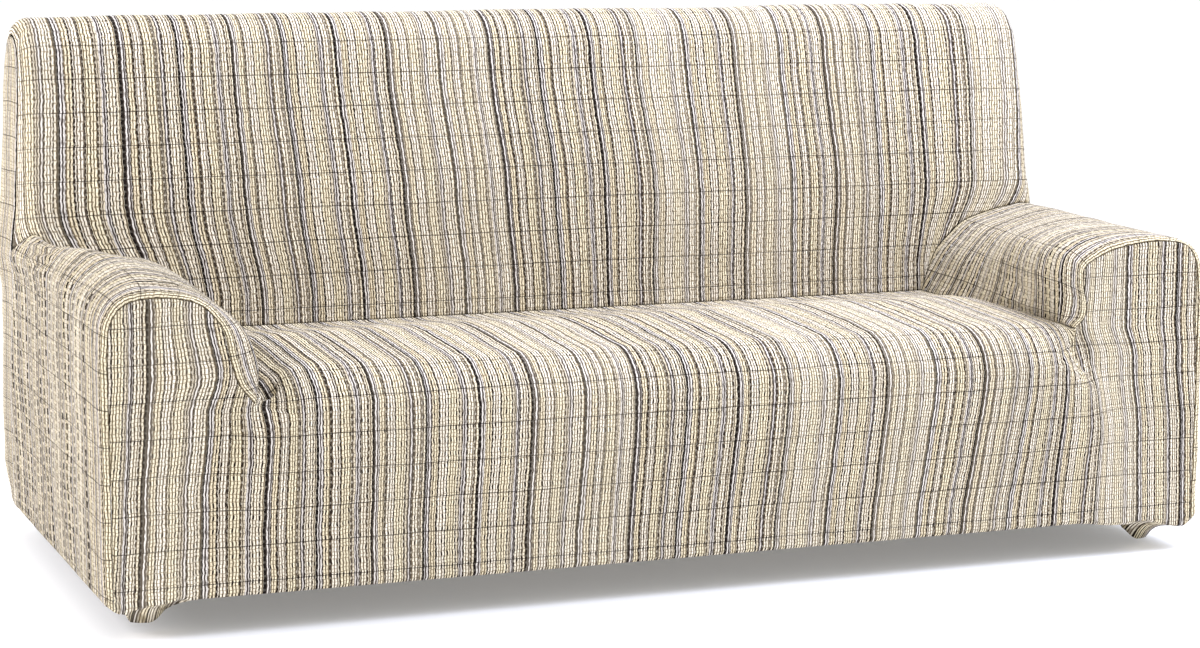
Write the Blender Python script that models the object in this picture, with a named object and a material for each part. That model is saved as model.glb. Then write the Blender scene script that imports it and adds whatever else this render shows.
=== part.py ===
"""Fitted stretch slipcover for a three-seat sofa, as five cloth panels.

The cover is a hollow shell of cloth, open underneath. Its panels are the seat with the
skirt and the arm fronts, the two arms, the inside of the back and the outside of the back.
They meet along seams and creases. Lengths are in metres, +Z is up, and the origin is the
point under the top roll of the back by which the cover is held.

The shape is laid out first in sofa places: x across from the middle, y to the rear from
the arm fronts and z up from the floor. ORIGIN is the part's origin in those places.
"""

from collections import namedtuple
import math

import bmesh
import bpy
from mathutils import Vector

for old in list(bpy.data.objects):
    bpy.data.objects.remove(old)

# Cloth and seams
CLOTH = 0.0024
SEAM_GAP = 0.0004

# Overall form
HALF_WIDTH = 1.010
TOP_HALF_WIDTH = 0.994
SIDE_FLARE = 0.009
FLARE_Z = 0.552
FLARE_REACH = 0.10
REAR_HEM_HALF_WIDTH = 0.997
REAR_HEM_FADE = 0.090
HEM_HEIGHT = 0.064
HEM_TURN = 0.009

# Seat and skirt
SEAT_HALF_WIDTH = 0.668
SEAT_END_FULLNESS = 1.6
SEAT_FRONT_HEIGHT = 0.432
SEAT_CROWN = 0.010
SEAT_ROLL_DEPTH = 0.095
SEAT_ROLL_HEIGHT = 0.072
SKIRT_BULGE = 0.045
BULGE_FADE = 0.085

# Back
CREASE_Y = 0.606
CREASE_Z = 0.408
ROLL_Y = 0.770
ROLL_Z = 0.870
ROLL_RADIUS = 0.090
LOW_CORNER = 0.065
TOP_CORNER = 0.034
BACK_BOW = 0.012
REAR_SEAM_ANGLE = math.radians(50)
REAR_HEM_Y = 0.925

# The socks, where the hem is drawn down round at the two front corners
SOCK_Y = 0.108
SOCK_RING = 0.037
SOCK_DROP = 5
SOCK_EDGE = 0.010
SOCK_HALF = 0.032
SOCK_SPREAD = 0.024
Sock = namedtuple("Sock", "x front_z inner_z low_half")
LEFT_SOCK = Sock(0.918, 0.016, 0.032, 0.056)
RIGHT_SOCK = Sock(0.925, 0.010, 0.034, 0.026)

ORIGIN = Vector((0.0, ROLL_Y, ROLL_Z + ROLL_RADIUS - CLOTH))

# The arms, a row for each place on the way from the seat crease over the arm to the hem:
# the full section just behind the arm front, the seam on the arm front, the section where
# the arm meets the back, and how deep the rounded front edge is. The seams of the two arms
# sit unevenly, as the cover was pulled on.
Place = namedtuple("Place", "outline_x outline_z seam_x seam_z rear_x rear_z edge")
SIDE_BOTTOM = HEM_HEIGHT + HEM_TURN
LEFT_ARM = (
    Place(0.752, 0.380, 0.755, 0.378, 0.747, 0.408, 0.018),
    Place(0.741, 0.415, 0.781, 0.411, 0.762, 0.450, 0.040),
    Place(0.744, 0.456, 0.794, 0.450, 0.779, 0.484, 0.048),
    Place(0.763, 0.494, 0.803, 0.492, 0.806, 0.512, 0.048),
    Place(0.792, 0.525, 0.821, 0.524, 0.838, 0.537, 0.044),
    Place(0.838, 0.556, 0.851, 0.547, 0.885, 0.549, 0.040),
    Place(0.885, 0.573, 0.895, 0.556, 0.950, 0.552, 0.036),
    Place(0.945, 0.577, 0.948, 0.554, 0.985, 0.583, 0.032),
    Place(0.988, 0.553, 0.975, 0.538, 1.019, 0.552, 0.028),
    Place(1.004, 0.510, 0.990, 0.503, 1.012, 0.505, 0.024),
    Place(1.007, 0.300, 0.991, 0.300, 1.010, 0.300, 0.016),
    Place(1.005, SIDE_BOTTOM, 0.990, SIDE_BOTTOM, 1.004, SIDE_BOTTOM, 0.015),
)
RIGHT_ARM = (
    Place(0.738, 0.423, 0.743, 0.424, 0.747, 0.408, 0.018),
    Place(0.727, 0.444, 0.760, 0.441, 0.762, 0.450, 0.036),
    Place(0.722, 0.482, 0.763, 0.466, 0.779, 0.484, 0.042),
    Place(0.724, 0.520, 0.756, 0.496, 0.806, 0.512, 0.045),
    Place(0.740, 0.553, 0.758, 0.529, 0.838, 0.537, 0.042),
    Place(0.785, 0.575, 0.796, 0.553, 0.885, 0.553, 0.038),
    Place(0.850, 0.583, 0.850, 0.567, 0.935, 0.564, 0.034),
    Place(0.928, 0.579, 0.918, 0.571, 0.980, 0.568, 0.030),
    Place(0.984, 0.558, 0.968, 0.559, 1.019, 0.552, 0.026),
    Place(1.006, 0.515, 0.989, 0.515, 1.013, 0.505, 0.022),
    Place(1.010, 0.300, 0.993, 0.300, 1.011, 0.300, 0.016),
    Place(1.008, SIDE_BOTTOM, 0.992, SIDE_BOTTOM, 1.005, SIDE_BOTTOM, 0.015),
)
INNER_END = 4
TOP_END = 8
OUTER_END = 11

# How far the padding swells the top of each arm halfway back
LEFT_CROWN = 0.024
RIGHT_CROWN = 0.0
CROWN_FADE = 0.45

# The seam behind the arm, down the side of the cover: height and y
SIDE_SEAM = ((0.552, 0.686), (0.457, 0.726), (0.267, 0.776), (0.064, 0.800))

# Where the swell of the seat front ends beside the arm front: height and x
BULGE_END = ((0.424, 0.744), (0.378, 0.757), (0.350, 0.795), (0.325, 0.815), (0.250, 0.832), (0.064, 0.840))

# How far the hem droops beside each sock: distance from the middle, and the drop
LEFT_DROOP = ((0.850, 0.0), (0.880, 0.002), (0.903, 0.008), (0.935, 0.012), (0.966, 0.016),
              (0.981, 0.014), (0.993, 0.007), (1.005, 0.001))
RIGHT_DROOP = ((0.760, 0.0), (0.790, 0.003), (0.824, 0.008), (0.908, 0.011), (0.929, 0.018),
               (0.954, 0.024), (0.970, 0.025), (0.982, 0.021), (0.991, 0.014), (1.008, 0.003))
DROOP_HEIGHT = 0.080
DROOP_DEPTH = 0.060

# Steps of each grid of cloth
INNER_STEPS = (1, 1, 1, 2)
TOP_STEPS = (4, 4, 5, 5)
OUTER_STEPS = (2, 3, 4)
EDGE_STEPS = 4
ARM_STEPS = 8
SKIRT_STEPS = 4
HEM_STEPS = 4
SEAT_STEPS = 18
SEAT_END_STEPS = 4
FACE_STEPS = 6
ROLL_FRONT_STEPS = 3
ROLL_REAR_STEPS = 3
BACK_CORNER_STEPS = 3
REAR_STEPS = 10


def mix(a, b, t):
    return a + (b - a) * t


def ease(t):
    """0 to 1 with level ends."""
    t = min(max(t, 0.0), 1.0)
    return t * t * (3.0 - 2.0 * t)


def table(rows, at):
    """Second column of a two-column table, read at a value of its first."""
    rows = sorted(rows)
    if at <= rows[0][0]:
        return rows[0][1]
    for (low, a), (high, b) in zip(rows, rows[1:]):
        if at <= high:
            return mix(a, b, (at - low) / (high - low))
    return rows[-1][1]


def cuts(start, counts):
    """Places along a run of intervals, each cut into its own number of steps."""
    places = [start + i + k / count for i, count in enumerate(counts) for k in range(count)]
    return places + [start + len(counts)]


def arm_row(arm, s):
    """A row of an arm's table at any place s, on smooth curves through its rows."""
    knots = [0.0]
    for a, b in zip(arm, arm[1:]):
        knots.append(knots[-1] + math.hypot(b.outline_x - a.outline_x, b.outline_z - a.outline_z))
    i = min(int(s), len(arm) - 2)
    f = s - i
    span = knots[i + 1] - knots[i]

    def slope(k, column):
        low, high = max(k - 1, 0), min(k + 1, len(arm) - 1)
        return (arm[high][column] - arm[low][column]) / (knots[high] - knots[low])

    values = []
    for column in range(len(arm[0])):
        a, b = arm[i][column], arm[i + 1][column]
        bend_a = slope(i, column) * span
        bend_b = slope(i + 1, column) * span
        blend = f * f * (3 - 2 * f)
        values.append(mix(a, b, blend) + bend_a * f * (1 - f) ** 2 - bend_b * f * f * (1 - f))
    return Place(*values)


# The back

ROLL_START = -(math.pi / 2 - math.atan2(ROLL_Y - ROLL_RADIUS - CREASE_Y, ROLL_Z - CREASE_Z))


def roll_end():
    """Angle past the top at which the roll runs into the rear face."""
    return math.pi / 2 - math.atan2(REAR_HEM_Y - ROLL_Y - ROLL_RADIUS, ROLL_Z - HEM_HEIGHT)


def half_width(z):
    """Half the width of the back at a height, drawn in at the hem and flared at the arms."""
    plain = mix(HALF_WIDTH, TOP_HALF_WIDTH, ease((z - 0.58) / 0.36))
    plain = mix(REAR_HEM_HALF_WIDTH, plain, ease((z - HEM_HEIGHT) / REAR_HEM_FADE))
    return plain + SIDE_FLARE * (1 - ease(abs(z - FLARE_Z) / FLARE_REACH))


def corner(z):
    """Radius of the back's corners, front and rear, at a height."""
    return mix(LOW_CORNER, TOP_CORNER, ease((z - 0.55) / 0.35))


def roll(angle):
    """Place and outward direction (y, z) on the top roll, at an angle from its crest."""
    out = (math.sin(angle), math.cos(angle))
    return (ROLL_Y + ROLL_RADIUS * out[0], ROLL_Z + ROLL_RADIUS * out[1]), out


def face(p):
    """Place and outward direction on the front face, p from the crease (0) to the roll (1)."""
    (top_y, top_z), out = roll(ROLL_START)
    bow = BACK_BOW * math.sin(math.pi * p)
    y = mix(CREASE_Y, top_y, p) + bow * out[0]
    z = mix(CREASE_Z, top_z, p) + bow * out[1]
    return (y, z), out


def rear(q):
    """Place and outward direction on the rear face, q from the hem (0) to the roll (1)."""
    (top_y, top_z), out = roll(roll_end())
    return (mix(REAR_HEM_Y, top_y, q), mix(SIDE_BOTTOM, top_z, q)), out


def wrap(profile, x, turn):
    """Turn a place of the back's profile round the end: turn 0 is flat, a right angle the side."""
    (y, z), (out_y, out_z) = profile
    if turn > 0:
        radius = corner(z)
        x = half_width(z) - radius * (1 - math.sin(turn))
        inset = radius * (1 - math.cos(turn))
        y, z = y - out_y * inset, z - out_z * inset
    normal = Vector((math.sin(turn), out_y * math.cos(turn), out_z * math.cos(turn)))
    return Vector((x, y, z)), normal


def side_of(profile):
    """The point at the side of the cover that belongs to a place of the profile."""
    return wrap(profile, 0.0, math.pi / 2)[0]


def face_share(x, z):
    """p and turn of the point on the wrapped front face that has this x and z."""
    radius = corner(z)
    turn = math.asin(min(max((x - half_width(z) + radius) / radius, 0.0), 1.0))
    (low_y, low_z), out = face(0)
    (top_y, top_z), out = face(1)
    p = (z + out[1] * radius * (1 - math.cos(turn)) - low_z) / (top_z - low_z)
    return p, turn


# The arm

def arm_rear(arm, s):
    """Where the arm panel ends: on the back as far as TOP_END, then on the side seam."""
    row = arm_row(arm, s)
    if s <= TOP_END:
        x = min(row.rear_x, half_width(row.rear_z))
        p, turn = face_share(x, row.rear_z)
        return wrap(face(p), x, turn)[0]
    return Vector((row.rear_x, table(SIDE_SEAM, row.rear_z), row.rear_z))


def arm_seam(arm, s):
    row = arm_row(arm, s)
    return Vector((row.seam_x, 0.0, row.seam_z))


def crown(arm, s, t):
    """The swell of an arm's padding, across its top and from its front (0) to its rear (1)."""
    height = LEFT_CROWN if arm is LEFT_ARM else RIGHT_CROWN
    along = math.sin(math.pi * t) * (1 - ease((t - CROWN_FADE) / 0.5))
    return height * along * ease((s - 2) / 3) * (1 - ease((s - 6) / 2))


def arm_point(arm, s, v):
    """The arm panel: v from the front seam (0) round the edge (1) to the rear (2)."""
    row = arm_row(arm, s)
    if v <= 1:
        angle = v * math.pi / 2
        x = mix(row.seam_x, row.outline_x, math.sin(angle))
        z = mix(row.seam_z, row.outline_z, math.sin(angle))
        return Vector((x, row.edge * (1 - math.cos(angle)), z))
    end = arm_rear(arm, s)
    t = v - 1
    x = mix(row.outline_x, end.x, ease(t))
    z = mix(row.outline_z, end.z, ease(t)) + crown(arm, s, t)
    return Vector((x, mix(row.edge, end.y, t), z))


def side_direction(arm, v):
    """Outward direction, level, of the arm's outer face at its hem."""
    if v >= 1:
        return Vector((1.0, 0.0, 0.0))
    row = arm_row(arm, OUTER_END)
    angle = v * math.pi / 2
    out = Vector((row.edge * math.sin(angle), -(row.outline_x - row.seam_x) * math.cos(angle), 0.0))
    return out.normalized()


def turn_under(point, out, share):
    """The hem: the cloth turns under through a quarter round, share from 0 to 1."""
    angle = share * math.pi / 2
    level = -out * HEM_TURN * (1 - math.cos(angle))
    down = Vector((0.0, 0.0, -HEM_TURN * math.sin(angle)))
    return point + level + down


# The seat, the skirt and the arm fronts

def arm_beside(x):
    return LEFT_ARM if x < 0 else RIGHT_ARM


def droop_of(arm):
    return LEFT_DROOP if arm is LEFT_ARM else RIGHT_DROOP


def skirt_y(x, z):
    """How far the skirt swells in front of the arm fronts."""
    rise = ease((z - HEM_HEIGHT) / (SEAT_FRONT_HEIGHT - SEAT_ROLL_HEIGHT - HEM_HEIGHT))
    end = table(BULGE_END, z)
    return -SKIRT_BULGE * rise * (1 - ease((abs(x) - end + BULGE_FADE) / BULGE_FADE))


def seat_end(x):
    """1 over the seat, falling round to 0 at the crease beside the arm."""
    crease = arm_beside(x)[0].seam_x
    beyond = (abs(x) - SEAT_HALF_WIDTH) / (crease - SEAT_HALF_WIDTH)
    full = SEAT_END_FULLNESS
    return max(0.0, 1 - max(beyond, 0.0) ** full) ** (1 / full)


def skirt_point(x, share):
    """The skirt between the arm fronts, share from the hem (0) to the seat's front roll (1)."""
    top = mix(arm_beside(x)[0].seam_z, SEAT_FRONT_HEIGHT - SEAT_ROLL_HEIGHT, seat_end(x))
    z = mix(SIDE_BOTTOM, top, share)
    return Vector((x, skirt_y(x, z), z))


def seat_point(x, v):
    """The seat: v from the skirt (0) over the front roll (1) to the crease with the back (2)."""
    start_y = skirt_point(x, 1).y
    if v <= 1:
        angle = v * math.pi / 2
        y = start_y + SEAT_ROLL_DEPTH * (1 - math.cos(angle))
        z = SEAT_FRONT_HEIGHT - SEAT_ROLL_HEIGHT * (1 - math.sin(angle))
    else:
        t = v - 1
        y = mix(start_y + SEAT_ROLL_DEPTH, CREASE_Y, t)
        crown = SEAT_FRONT_HEIGHT + SEAT_CROWN * math.sin(math.pi * t)
        z = mix(crown, CREASE_Z, ease((t - 0.4) / 0.6))
    arm = arm_beside(x)
    edge = arm_point(arm, 0, v)
    end = seat_end(x)
    return Vector((x * edge.x / arm[0].seam_x, mix(edge.y, y, end), mix(edge.z, z, end)))


def drooped(point, droop):
    """The hem's droop beside a sock, fading upwards and to the rear."""
    low = 1 - ease((point.z - HEM_HEIGHT) / DROOP_HEIGHT)
    near = 1 - ease(point.y / DROOP_DEPTH)
    return point - Vector((0.0, 0.0, table(droop, point.x) * low * near))


def drawn_to_sock(point, sock, x, share):
    """Draw the turned hem of the arm front down and back to the ring of its sock."""
    off = x - sock.x
    back = 1 - ease((abs(off) - SOCK_HALF) / SOCK_SPREAD)
    down = back * (1 - ease((off - sock.low_half) / SOCK_EDGE))
    angle = min(max(off / SOCK_RING, -math.pi / 2), math.pi / 2)
    height = mix(sock.front_z, sock.inner_z, ease(-angle))
    ring = Vector((sock.x + SOCK_RING * math.sin(angle), SOCK_Y - SOCK_RING * math.cos(angle), height))
    drawn = point.lerp(ring, back * share ** 2)
    drawn.z = mix(point.z, height, down * share ** SOCK_DROP)
    return drawn


# Building a panel

def grid(bm, columns, rows, place, side=1):
    """One grid of cloth. place(column, row) gives a point and, where it is set, its outward direction."""
    made = bmesh.ops.create_grid(bm, x_segments=len(columns) - 1, y_segments=len(rows) - 1, size=0.5)
    order = sorted(made["verts"], key=lambda vert: (round(vert.co.y, 6), round(vert.co.x, 6)))
    outward = bm.verts.layers.float_vector["outward"]
    for index, vert in enumerate(order):
        row, column = divmod(index, len(columns))
        point, out = place(columns[column], rows[row])
        vert.co = Vector((point.x * side, point.y, point.z))
        if out is not None:
            vert[outward] = Vector((out.x * side, out.y, out.z))


def drawn_back(vert):
    """Where a point of a panel's edge lies once half a seam gap is taken off the panel."""
    inside = Vector()
    for corner_face in vert.link_faces:
        inside += corner_face.calc_center_median() - vert.co
    border = [edge for edge in vert.link_edges if edge.is_boundary]
    along = border[0].other_vert(vert).co - border[1].other_vert(vert).co
    inside -= along * (inside.dot(along) / along.length_squared)
    return vert.co + inside.normalized() * (SEAM_GAP / 2)


def panel(name, colour, *grids):
    """One panel: its grids are joined, then thickened inwards to the cloth's thickness."""
    bm = bmesh.new()
    outward = bm.verts.layers.float_vector.new("outward")
    number = bm.verts.layers.int.new("number")
    for columns, rows, place, side in grids:
        grid(bm, columns, rows, place, side)
    bmesh.ops.remove_doubles(bm, verts=bm.verts, dist=1e-5)
    bmesh.ops.recalc_face_normals(bm, faces=bm.faces)
    bm.normal_update()
    if sum(vert.normal.dot(vert[outward]) for vert in bm.verts) < 0:
        bmesh.ops.reverse_faces(bm, faces=bm.faces)
        bm.normal_update()
    edge_verts = [vert for vert in bm.verts if vert.is_boundary]
    for vert, co in zip(edge_verts, [drawn_back(vert) for vert in edge_verts]):
        vert.co = co
    inner = []
    for index, vert in enumerate(bm.verts):
        vert[number] = index
        out = vert[outward] if vert[outward].length > 0.5 else vert.normal
        inner.append(vert.co - CLOTH * out)
    pushed = bmesh.ops.extrude_face_region(bm, geom=list(bm.faces))["geom"]
    for vert in pushed:
        if isinstance(vert, bmesh.types.BMVert):
            vert.co = inner[vert[number]]
    bmesh.ops.recalc_face_normals(bm, faces=bm.faces)
    bmesh.ops.translate(bm, verts=bm.verts, vec=-ORIGIN)
    mesh = bpy.data.meshes.new(name)
    bm.to_mesh(mesh)
    bm.free()
    mesh.shade_smooth()
    mesh.set_sharp_from_angle(angle=math.radians(50))
    mesh.materials.append(cloth_material(name, colour))
    thing = bpy.data.objects.new(name, mesh)
    bpy.context.scene.collection.objects.link(thing)
    return thing


def cloth_material(name, colour):
    material = bpy.data.materials.new(name + "_cloth")
    material.use_nodes = True
    shader = material.node_tree.nodes["Principled BSDF"]
    shader.inputs["Base Color"].default_value = (*colour, 1.0)
    shader.inputs["Roughness"].default_value = 0.9
    shader.inputs["Metallic"].default_value = 0.0
    return material


def hem_rows(count):
    """Rows of the turned hem, from its free edge up, as negative shares."""
    return [-(count - k) / count for k in range(count)]


FRONT = Vector((0.0, -1.0, 0.0))
RIGHT = Vector((1.0, 0.0, 0.0))


def arm_panel(name, arm, side, colour):
    columns = cuts(0, INNER_STEPS + TOP_STEPS + OUTER_STEPS)
    columns += [OUTER_END + k / HEM_STEPS for k in range(1, HEM_STEPS + 1)]
    rows = [k / EDGE_STEPS for k in range(EDGE_STEPS)] + [1 + k / ARM_STEPS for k in range(ARM_STEPS + 1)]
    droop = droop_of(arm)

    def place(s, v):
        on_side_seam = v == 2 and s >= TOP_END
        seam_out = FRONT if v == 0 else RIGHT if on_side_seam else None
        if s <= OUTER_END:
            return drooped(arm_point(arm, s, v), droop), seam_out
        share = s - OUTER_END
        out = side_direction(arm, v)
        return turn_under(drooped(arm_point(arm, OUTER_END, v), droop), out, share), hem_out(out, share)

    return panel(name, colour, (columns, rows, place, side))


def hem_out(out, share):
    """Outward direction on the turned hem."""
    angle = share * math.pi / 2
    return out * math.cos(angle) + Vector((0.0, 0.0, -math.sin(angle)))


def front_panel(colour):
    def end_columns(arm):
        reach = arm[0].seam_x - SEAT_HALF_WIDTH
        turns = [math.pi / 2 * k / SEAT_END_STEPS for k in range(1, SEAT_END_STEPS + 1)]
        return [SEAT_HALF_WIDTH + reach * math.sin(turn) for turn in turns]

    middle = [SEAT_HALF_WIDTH * (2 * k / SEAT_STEPS - 1) for k in range(SEAT_STEPS + 1)]
    seat_columns = [-x for x in reversed(end_columns(LEFT_ARM))] + middle + end_columns(RIGHT_ARM)
    skirt_rows = [k / SKIRT_STEPS for k in range(SKIRT_STEPS)]
    seat_rows = [1 + k / EDGE_STEPS for k in range(EDGE_STEPS)]
    seat_rows += [2 + k / ARM_STEPS for k in range(ARM_STEPS + 1)]
    hems = hem_rows(HEM_STEPS)

    def seat_place(x, row):
        if row < 0:
            return turn_under(skirt_point(x, 0), FRONT, -row), hem_out(FRONT, -row)
        if row < 1:
            return skirt_point(x, row), FRONT if row == 0 else None
        return seat_point(x, row - 1), None

    inner = cuts(0, INNER_STEPS)
    outer = list(reversed(cuts(TOP_END, OUTER_STEPS)))
    top = cuts(INNER_END, TOP_STEPS)
    rows = list(range(len(outer)))
    columns = list(range(len(top)))

    def arm_front_place(arm, side, column, row):
        level = max(row, 0)
        if level < SKIRT_STEPS:
            near = skirt_point(side * arm[0].seam_x, level / SKIRT_STEPS)
            near.x = arm[0].seam_x
        else:
            near = arm_seam(arm, inner[level - SKIRT_STEPS])
        far = arm_seam(arm, outer[level])
        across = column / columns[-1]
        arch = arm_seam(arm, top[column]) - arm_seam(arm, INNER_END).lerp(arm_seam(arm, TOP_END), across)
        point = near.lerp(far, across) + arch * (level / rows[-1]) ** 2
        if 0 < column < columns[-1] and level < rows[-1]:
            point.y = skirt_y(point.x, point.z)
        point = drooped(point, droop_of(arm))
        on_seam = level == rows[-1] or column == columns[-1] or (column == 0 and level >= SKIRT_STEPS)
        if row < 0:
            sock = LEFT_SOCK if arm is LEFT_ARM else RIGHT_SOCK
            turned = drawn_to_sock(turn_under(point, FRONT, -row), sock, point.x, -row)
            return turned, hem_out(FRONT, -row) if column == columns[-1] else None
        return point, FRONT if on_seam or row == 0 else None

    def front_of(arm, side):
        return columns, hems + rows, lambda column, row: arm_front_place(arm, side, column, row), side

    return panel("front_panel", colour, (seat_columns, hems + skirt_rows + seat_rows, seat_place, 1),
                 front_of(LEFT_ARM, -1), front_of(RIGHT_ARM, 1))


def inside_back_panel(colour):
    arm_columns = cuts(0, INNER_STEPS + TOP_STEPS)
    crease_x = LEFT_ARM[0].rear_x
    middle = [crease_x * (2 * k / SEAT_STEPS - 1) for k in range(1, SEAT_STEPS)]
    columns = [(LEFT_ARM, s) for s in reversed(arm_columns)]
    columns += [(None, x) for x in middle]
    columns += [(RIGHT_ARM, s) for s in arm_columns]
    rows = [k / FACE_STEPS for k in range(FACE_STEPS)]
    rows += [1 + k / ROLL_FRONT_STEPS for k in range(ROLL_FRONT_STEPS)]
    rows += [2 + k / ROLL_REAR_STEPS for k in range(ROLL_REAR_STEPS + 1)]

    def place(column, row):
        arm, value = column
        start, turn, x = 0.0, 0.0, value
        if arm:
            below = arm_rear(arm, value)
            x = below.x
            start, turn = face_share(x, below.z)
        if row < 1:
            profile = face(mix(start, 1, row))
        elif row < 2:
            profile = roll(mix(ROLL_START, 0.0, row - 1))
        else:
            profile = roll(mix(0.0, REAR_SEAM_ANGLE, row - 2))
        point, normal = wrap(profile, x, turn)
        if arm and row == 0:
            point = below
            normal = normal if value == TOP_END else None
        if arm is LEFT_ARM:
            point.x = -point.x
            if normal is not None:
                normal.x = -normal.x
        return point, normal

    return panel("inside_back_panel", colour, (columns, rows, place, 1))


def outside_back_panel(colour):
    low = [("low", s) for s in reversed(cuts(TOP_END, OUTER_STEPS))]
    levels = low + [("face", k / FACE_STEPS) for k in range(1, FACE_STEPS)]
    rear_top = len(levels)
    levels += [("roll", k / ROLL_FRONT_STEPS) for k in range(ROLL_FRONT_STEPS + 1)]
    crest_row = len(levels) - 1
    hems = hem_rows(HEM_STEPS)

    def front_edge(arm, level):
        """The side seam, from the hem up to the crest of the roll."""
        kind, value = levels[level]
        if kind == "low":
            return arm_rear(arm, value)
        if kind == "face":
            below = arm_rear(arm, TOP_END)
            return side_of(face(mix(face_share(below.x, below.z)[0], 1, value)))
        return side_of(roll(mix(ROLL_START, 0.0, value)))

    def rear_profile(arm, level):
        """The rear face and the start of the roll, from the hem up to the rear seam."""
        if level > rear_top:
            return roll(mix(roll_end(), REAR_SEAM_ANGLE, (level - rear_top) / ROLL_FRONT_STEPS))
        low_z, top_z = front_edge(arm, 0).z, front_edge(arm, rear_top).z
        return rear((front_edge(arm, level).z - low_z) / (top_z - low_z))

    def strip_point(arm, share, level):
        """The side strip, share from the side seam (0) to the rear corner (1)."""
        front, behind = front_edge(arm, level), side_of(rear_profile(arm, level))
        front_top, behind_top = front_edge(arm, crest_row), side_of(rear_profile(arm, crest_row))
        arc = side_of(roll(mix(0.0, REAR_SEAM_ANGLE, share))) - front_top.lerp(behind_top, share)
        return front.lerp(behind, share) + arc * (level / crest_row) ** 4

    turns = [math.pi / 2 * (1 - k / BACK_CORNER_STEPS) for k in range(BACK_CORNER_STEPS)]
    half = [("strip", k / ROLL_REAR_STEPS) for k in range(ROLL_REAR_STEPS)]
    half += [("corner", turn) for turn in turns]
    columns = [(kind, value, LEFT_ARM) for kind, value in half]
    columns += [("flat", 2 * k / REAR_STEPS - 1, RIGHT_ARM) for k in range(REAR_STEPS + 1)]
    columns += [(kind, value, RIGHT_ARM) for kind, value in reversed(half)]

    def place(column, row):
        kind, value, arm = column
        level = max(row, 0)
        profile = rear_profile(arm, level)
        height = profile[0][1]
        if kind == "strip":
            point, normal = strip_point(arm, value, level), RIGHT.copy()
        elif kind == "corner":
            point, normal = wrap(profile, 0.0, value)
        else:
            point, normal = wrap(profile, value * (half_width(height) - corner(height)), 0.0)
        if arm is LEFT_ARM:
            point.x, normal.x = -point.x, -normal.x
        if row < 0:
            level_out = Vector((normal.x, normal.y, 0.0)).normalized()
            return turn_under(point, level_out, -row), hem_out(level_out, -row)
        return point, normal

    return panel("outside_back_panel", colour, (columns, hems + list(range(len(levels))), place, 1))


CREAM = (0.72, 0.66, 0.55)
front_panel(CREAM)
arm_panel("arm_panel_left", LEFT_ARM, -1, CREAM)
arm_panel("arm_panel_right", RIGHT_ARM, 1, CREAM)
inside_back_panel(CREAM)
outside_back_panel(CREAM)
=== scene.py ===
from collections import namedtuple
from functools import lru_cache
import math

import bmesh
import bpy
from mathutils import Matrix, Vector, noise
from mathutils.geometry import intersect_point_line
from mathutils.kdtree import KDTree


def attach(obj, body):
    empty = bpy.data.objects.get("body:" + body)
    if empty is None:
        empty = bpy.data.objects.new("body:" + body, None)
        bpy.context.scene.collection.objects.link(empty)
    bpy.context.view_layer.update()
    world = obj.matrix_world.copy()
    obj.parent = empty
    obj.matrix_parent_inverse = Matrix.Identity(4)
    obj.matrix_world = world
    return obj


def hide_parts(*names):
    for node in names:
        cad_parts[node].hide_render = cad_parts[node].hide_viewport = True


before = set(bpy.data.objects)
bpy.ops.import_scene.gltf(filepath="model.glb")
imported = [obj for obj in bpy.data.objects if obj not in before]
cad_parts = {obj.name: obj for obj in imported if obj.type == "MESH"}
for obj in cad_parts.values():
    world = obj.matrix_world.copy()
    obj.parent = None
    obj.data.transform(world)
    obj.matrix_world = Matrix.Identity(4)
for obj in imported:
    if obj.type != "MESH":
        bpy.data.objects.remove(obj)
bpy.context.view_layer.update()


# ------------------------------------------------------------------------------------------
# The striped cloth. All five panels are cut from it: a soft stretch crinkle weave, dyed in the
# yarn, with a cream ground of puffed cells, near-black warp lines, grey bands with loose white
# threads, ochre bands and thin dark weft lines. The material reads metres of cloth.

REPEAT = 0.090
WANDER = 0.0042
BEAD_LENGTH = 0.0152
BEAD_SWAY = 0.0003
CELL_WIDTH = 0.0047
CREPE_PERIOD = 0.0218
TALL_SHARE = 0.46
SHORT_SHARE = 0.27
PULLED_PERIOD = 0.0168
LOOSE_THREAD = 0.0046
LOOSE_LENGTH = 0.041
BROKEN_WIDTH = 0.011
BROKEN_LENGTH = 0.0118
WEFT_SPACING = 0.0605
WEFT_WIDTH = 0.0012
# FOLD_ACROSS, FOLD_START and FOLD_ALONG size the shadows painted into the folds of the arms' crinkles
FOLD_ACROSS = 0.0150
FOLD_START = 0.090
FOLD_ALONG = 0.017
CRINKLE_HEIGHT = 0.0016
CRINKLE_STRENGTH = 0.8
CRINKLE_STRETCH = (1.0, 0.45, 1.0)
# The colour of the shade painted into the folds of the crinkles on the arms
FOLD_SHADOW_COLOUR = "1C1510"
DARK_YARN = "241B15"
PALE_YARN = "EFE6D2"
WORN_GROUND = "8F8168"
WORN_THREAD = "F8F0DE"

# Where the parts of the weave begin and end, as shares of their spacing, and the values they go
# from and to where these aren't 0 and 1
CELL_SIDE = (0.26, 0.38)
CELL_END = (0.36, 0.47, 0.0, 0.65)
DASH_SIDE = (-0.05, 0.06)
DASH_END = (0.28, 0.42)
DASH_LUCK = (0.1, 0.5, 0.35, 1.0)
THREAD_SIDE = (0.20, 0.30, 1.0, 0.0)
THREAD_END = (-1.3, -0.7)
BROKEN_GAP = (0.30, 0.40)
# The last three give the shape of the painted fold shadows on the arms
FOLD_SIDE = (0.11, 0.18, 1.0, 0.0)
FOLD_END = (0.28, 0.40, 1.0, 0.0)
FOLD_LUCK = (0.1, 0.5, 0.4, 1.0)

# The mottles of the cloth: spots to the metre, and how finely they are broken up
WANDER_SPOTS = (60.0, 2.0)
BEAD_SPOTS = (38.0, 1.0)
ROW_SPOTS = (30.0, 2.0)
WEFT_SPOTS = (9.0, 1.0)
FIBRE_SPOTS = (900.0, 1.0)
DYE_SPOTS = (7.0, 3.0)
RELIEF_SPOTS = (120.0, 2.0)

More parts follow.
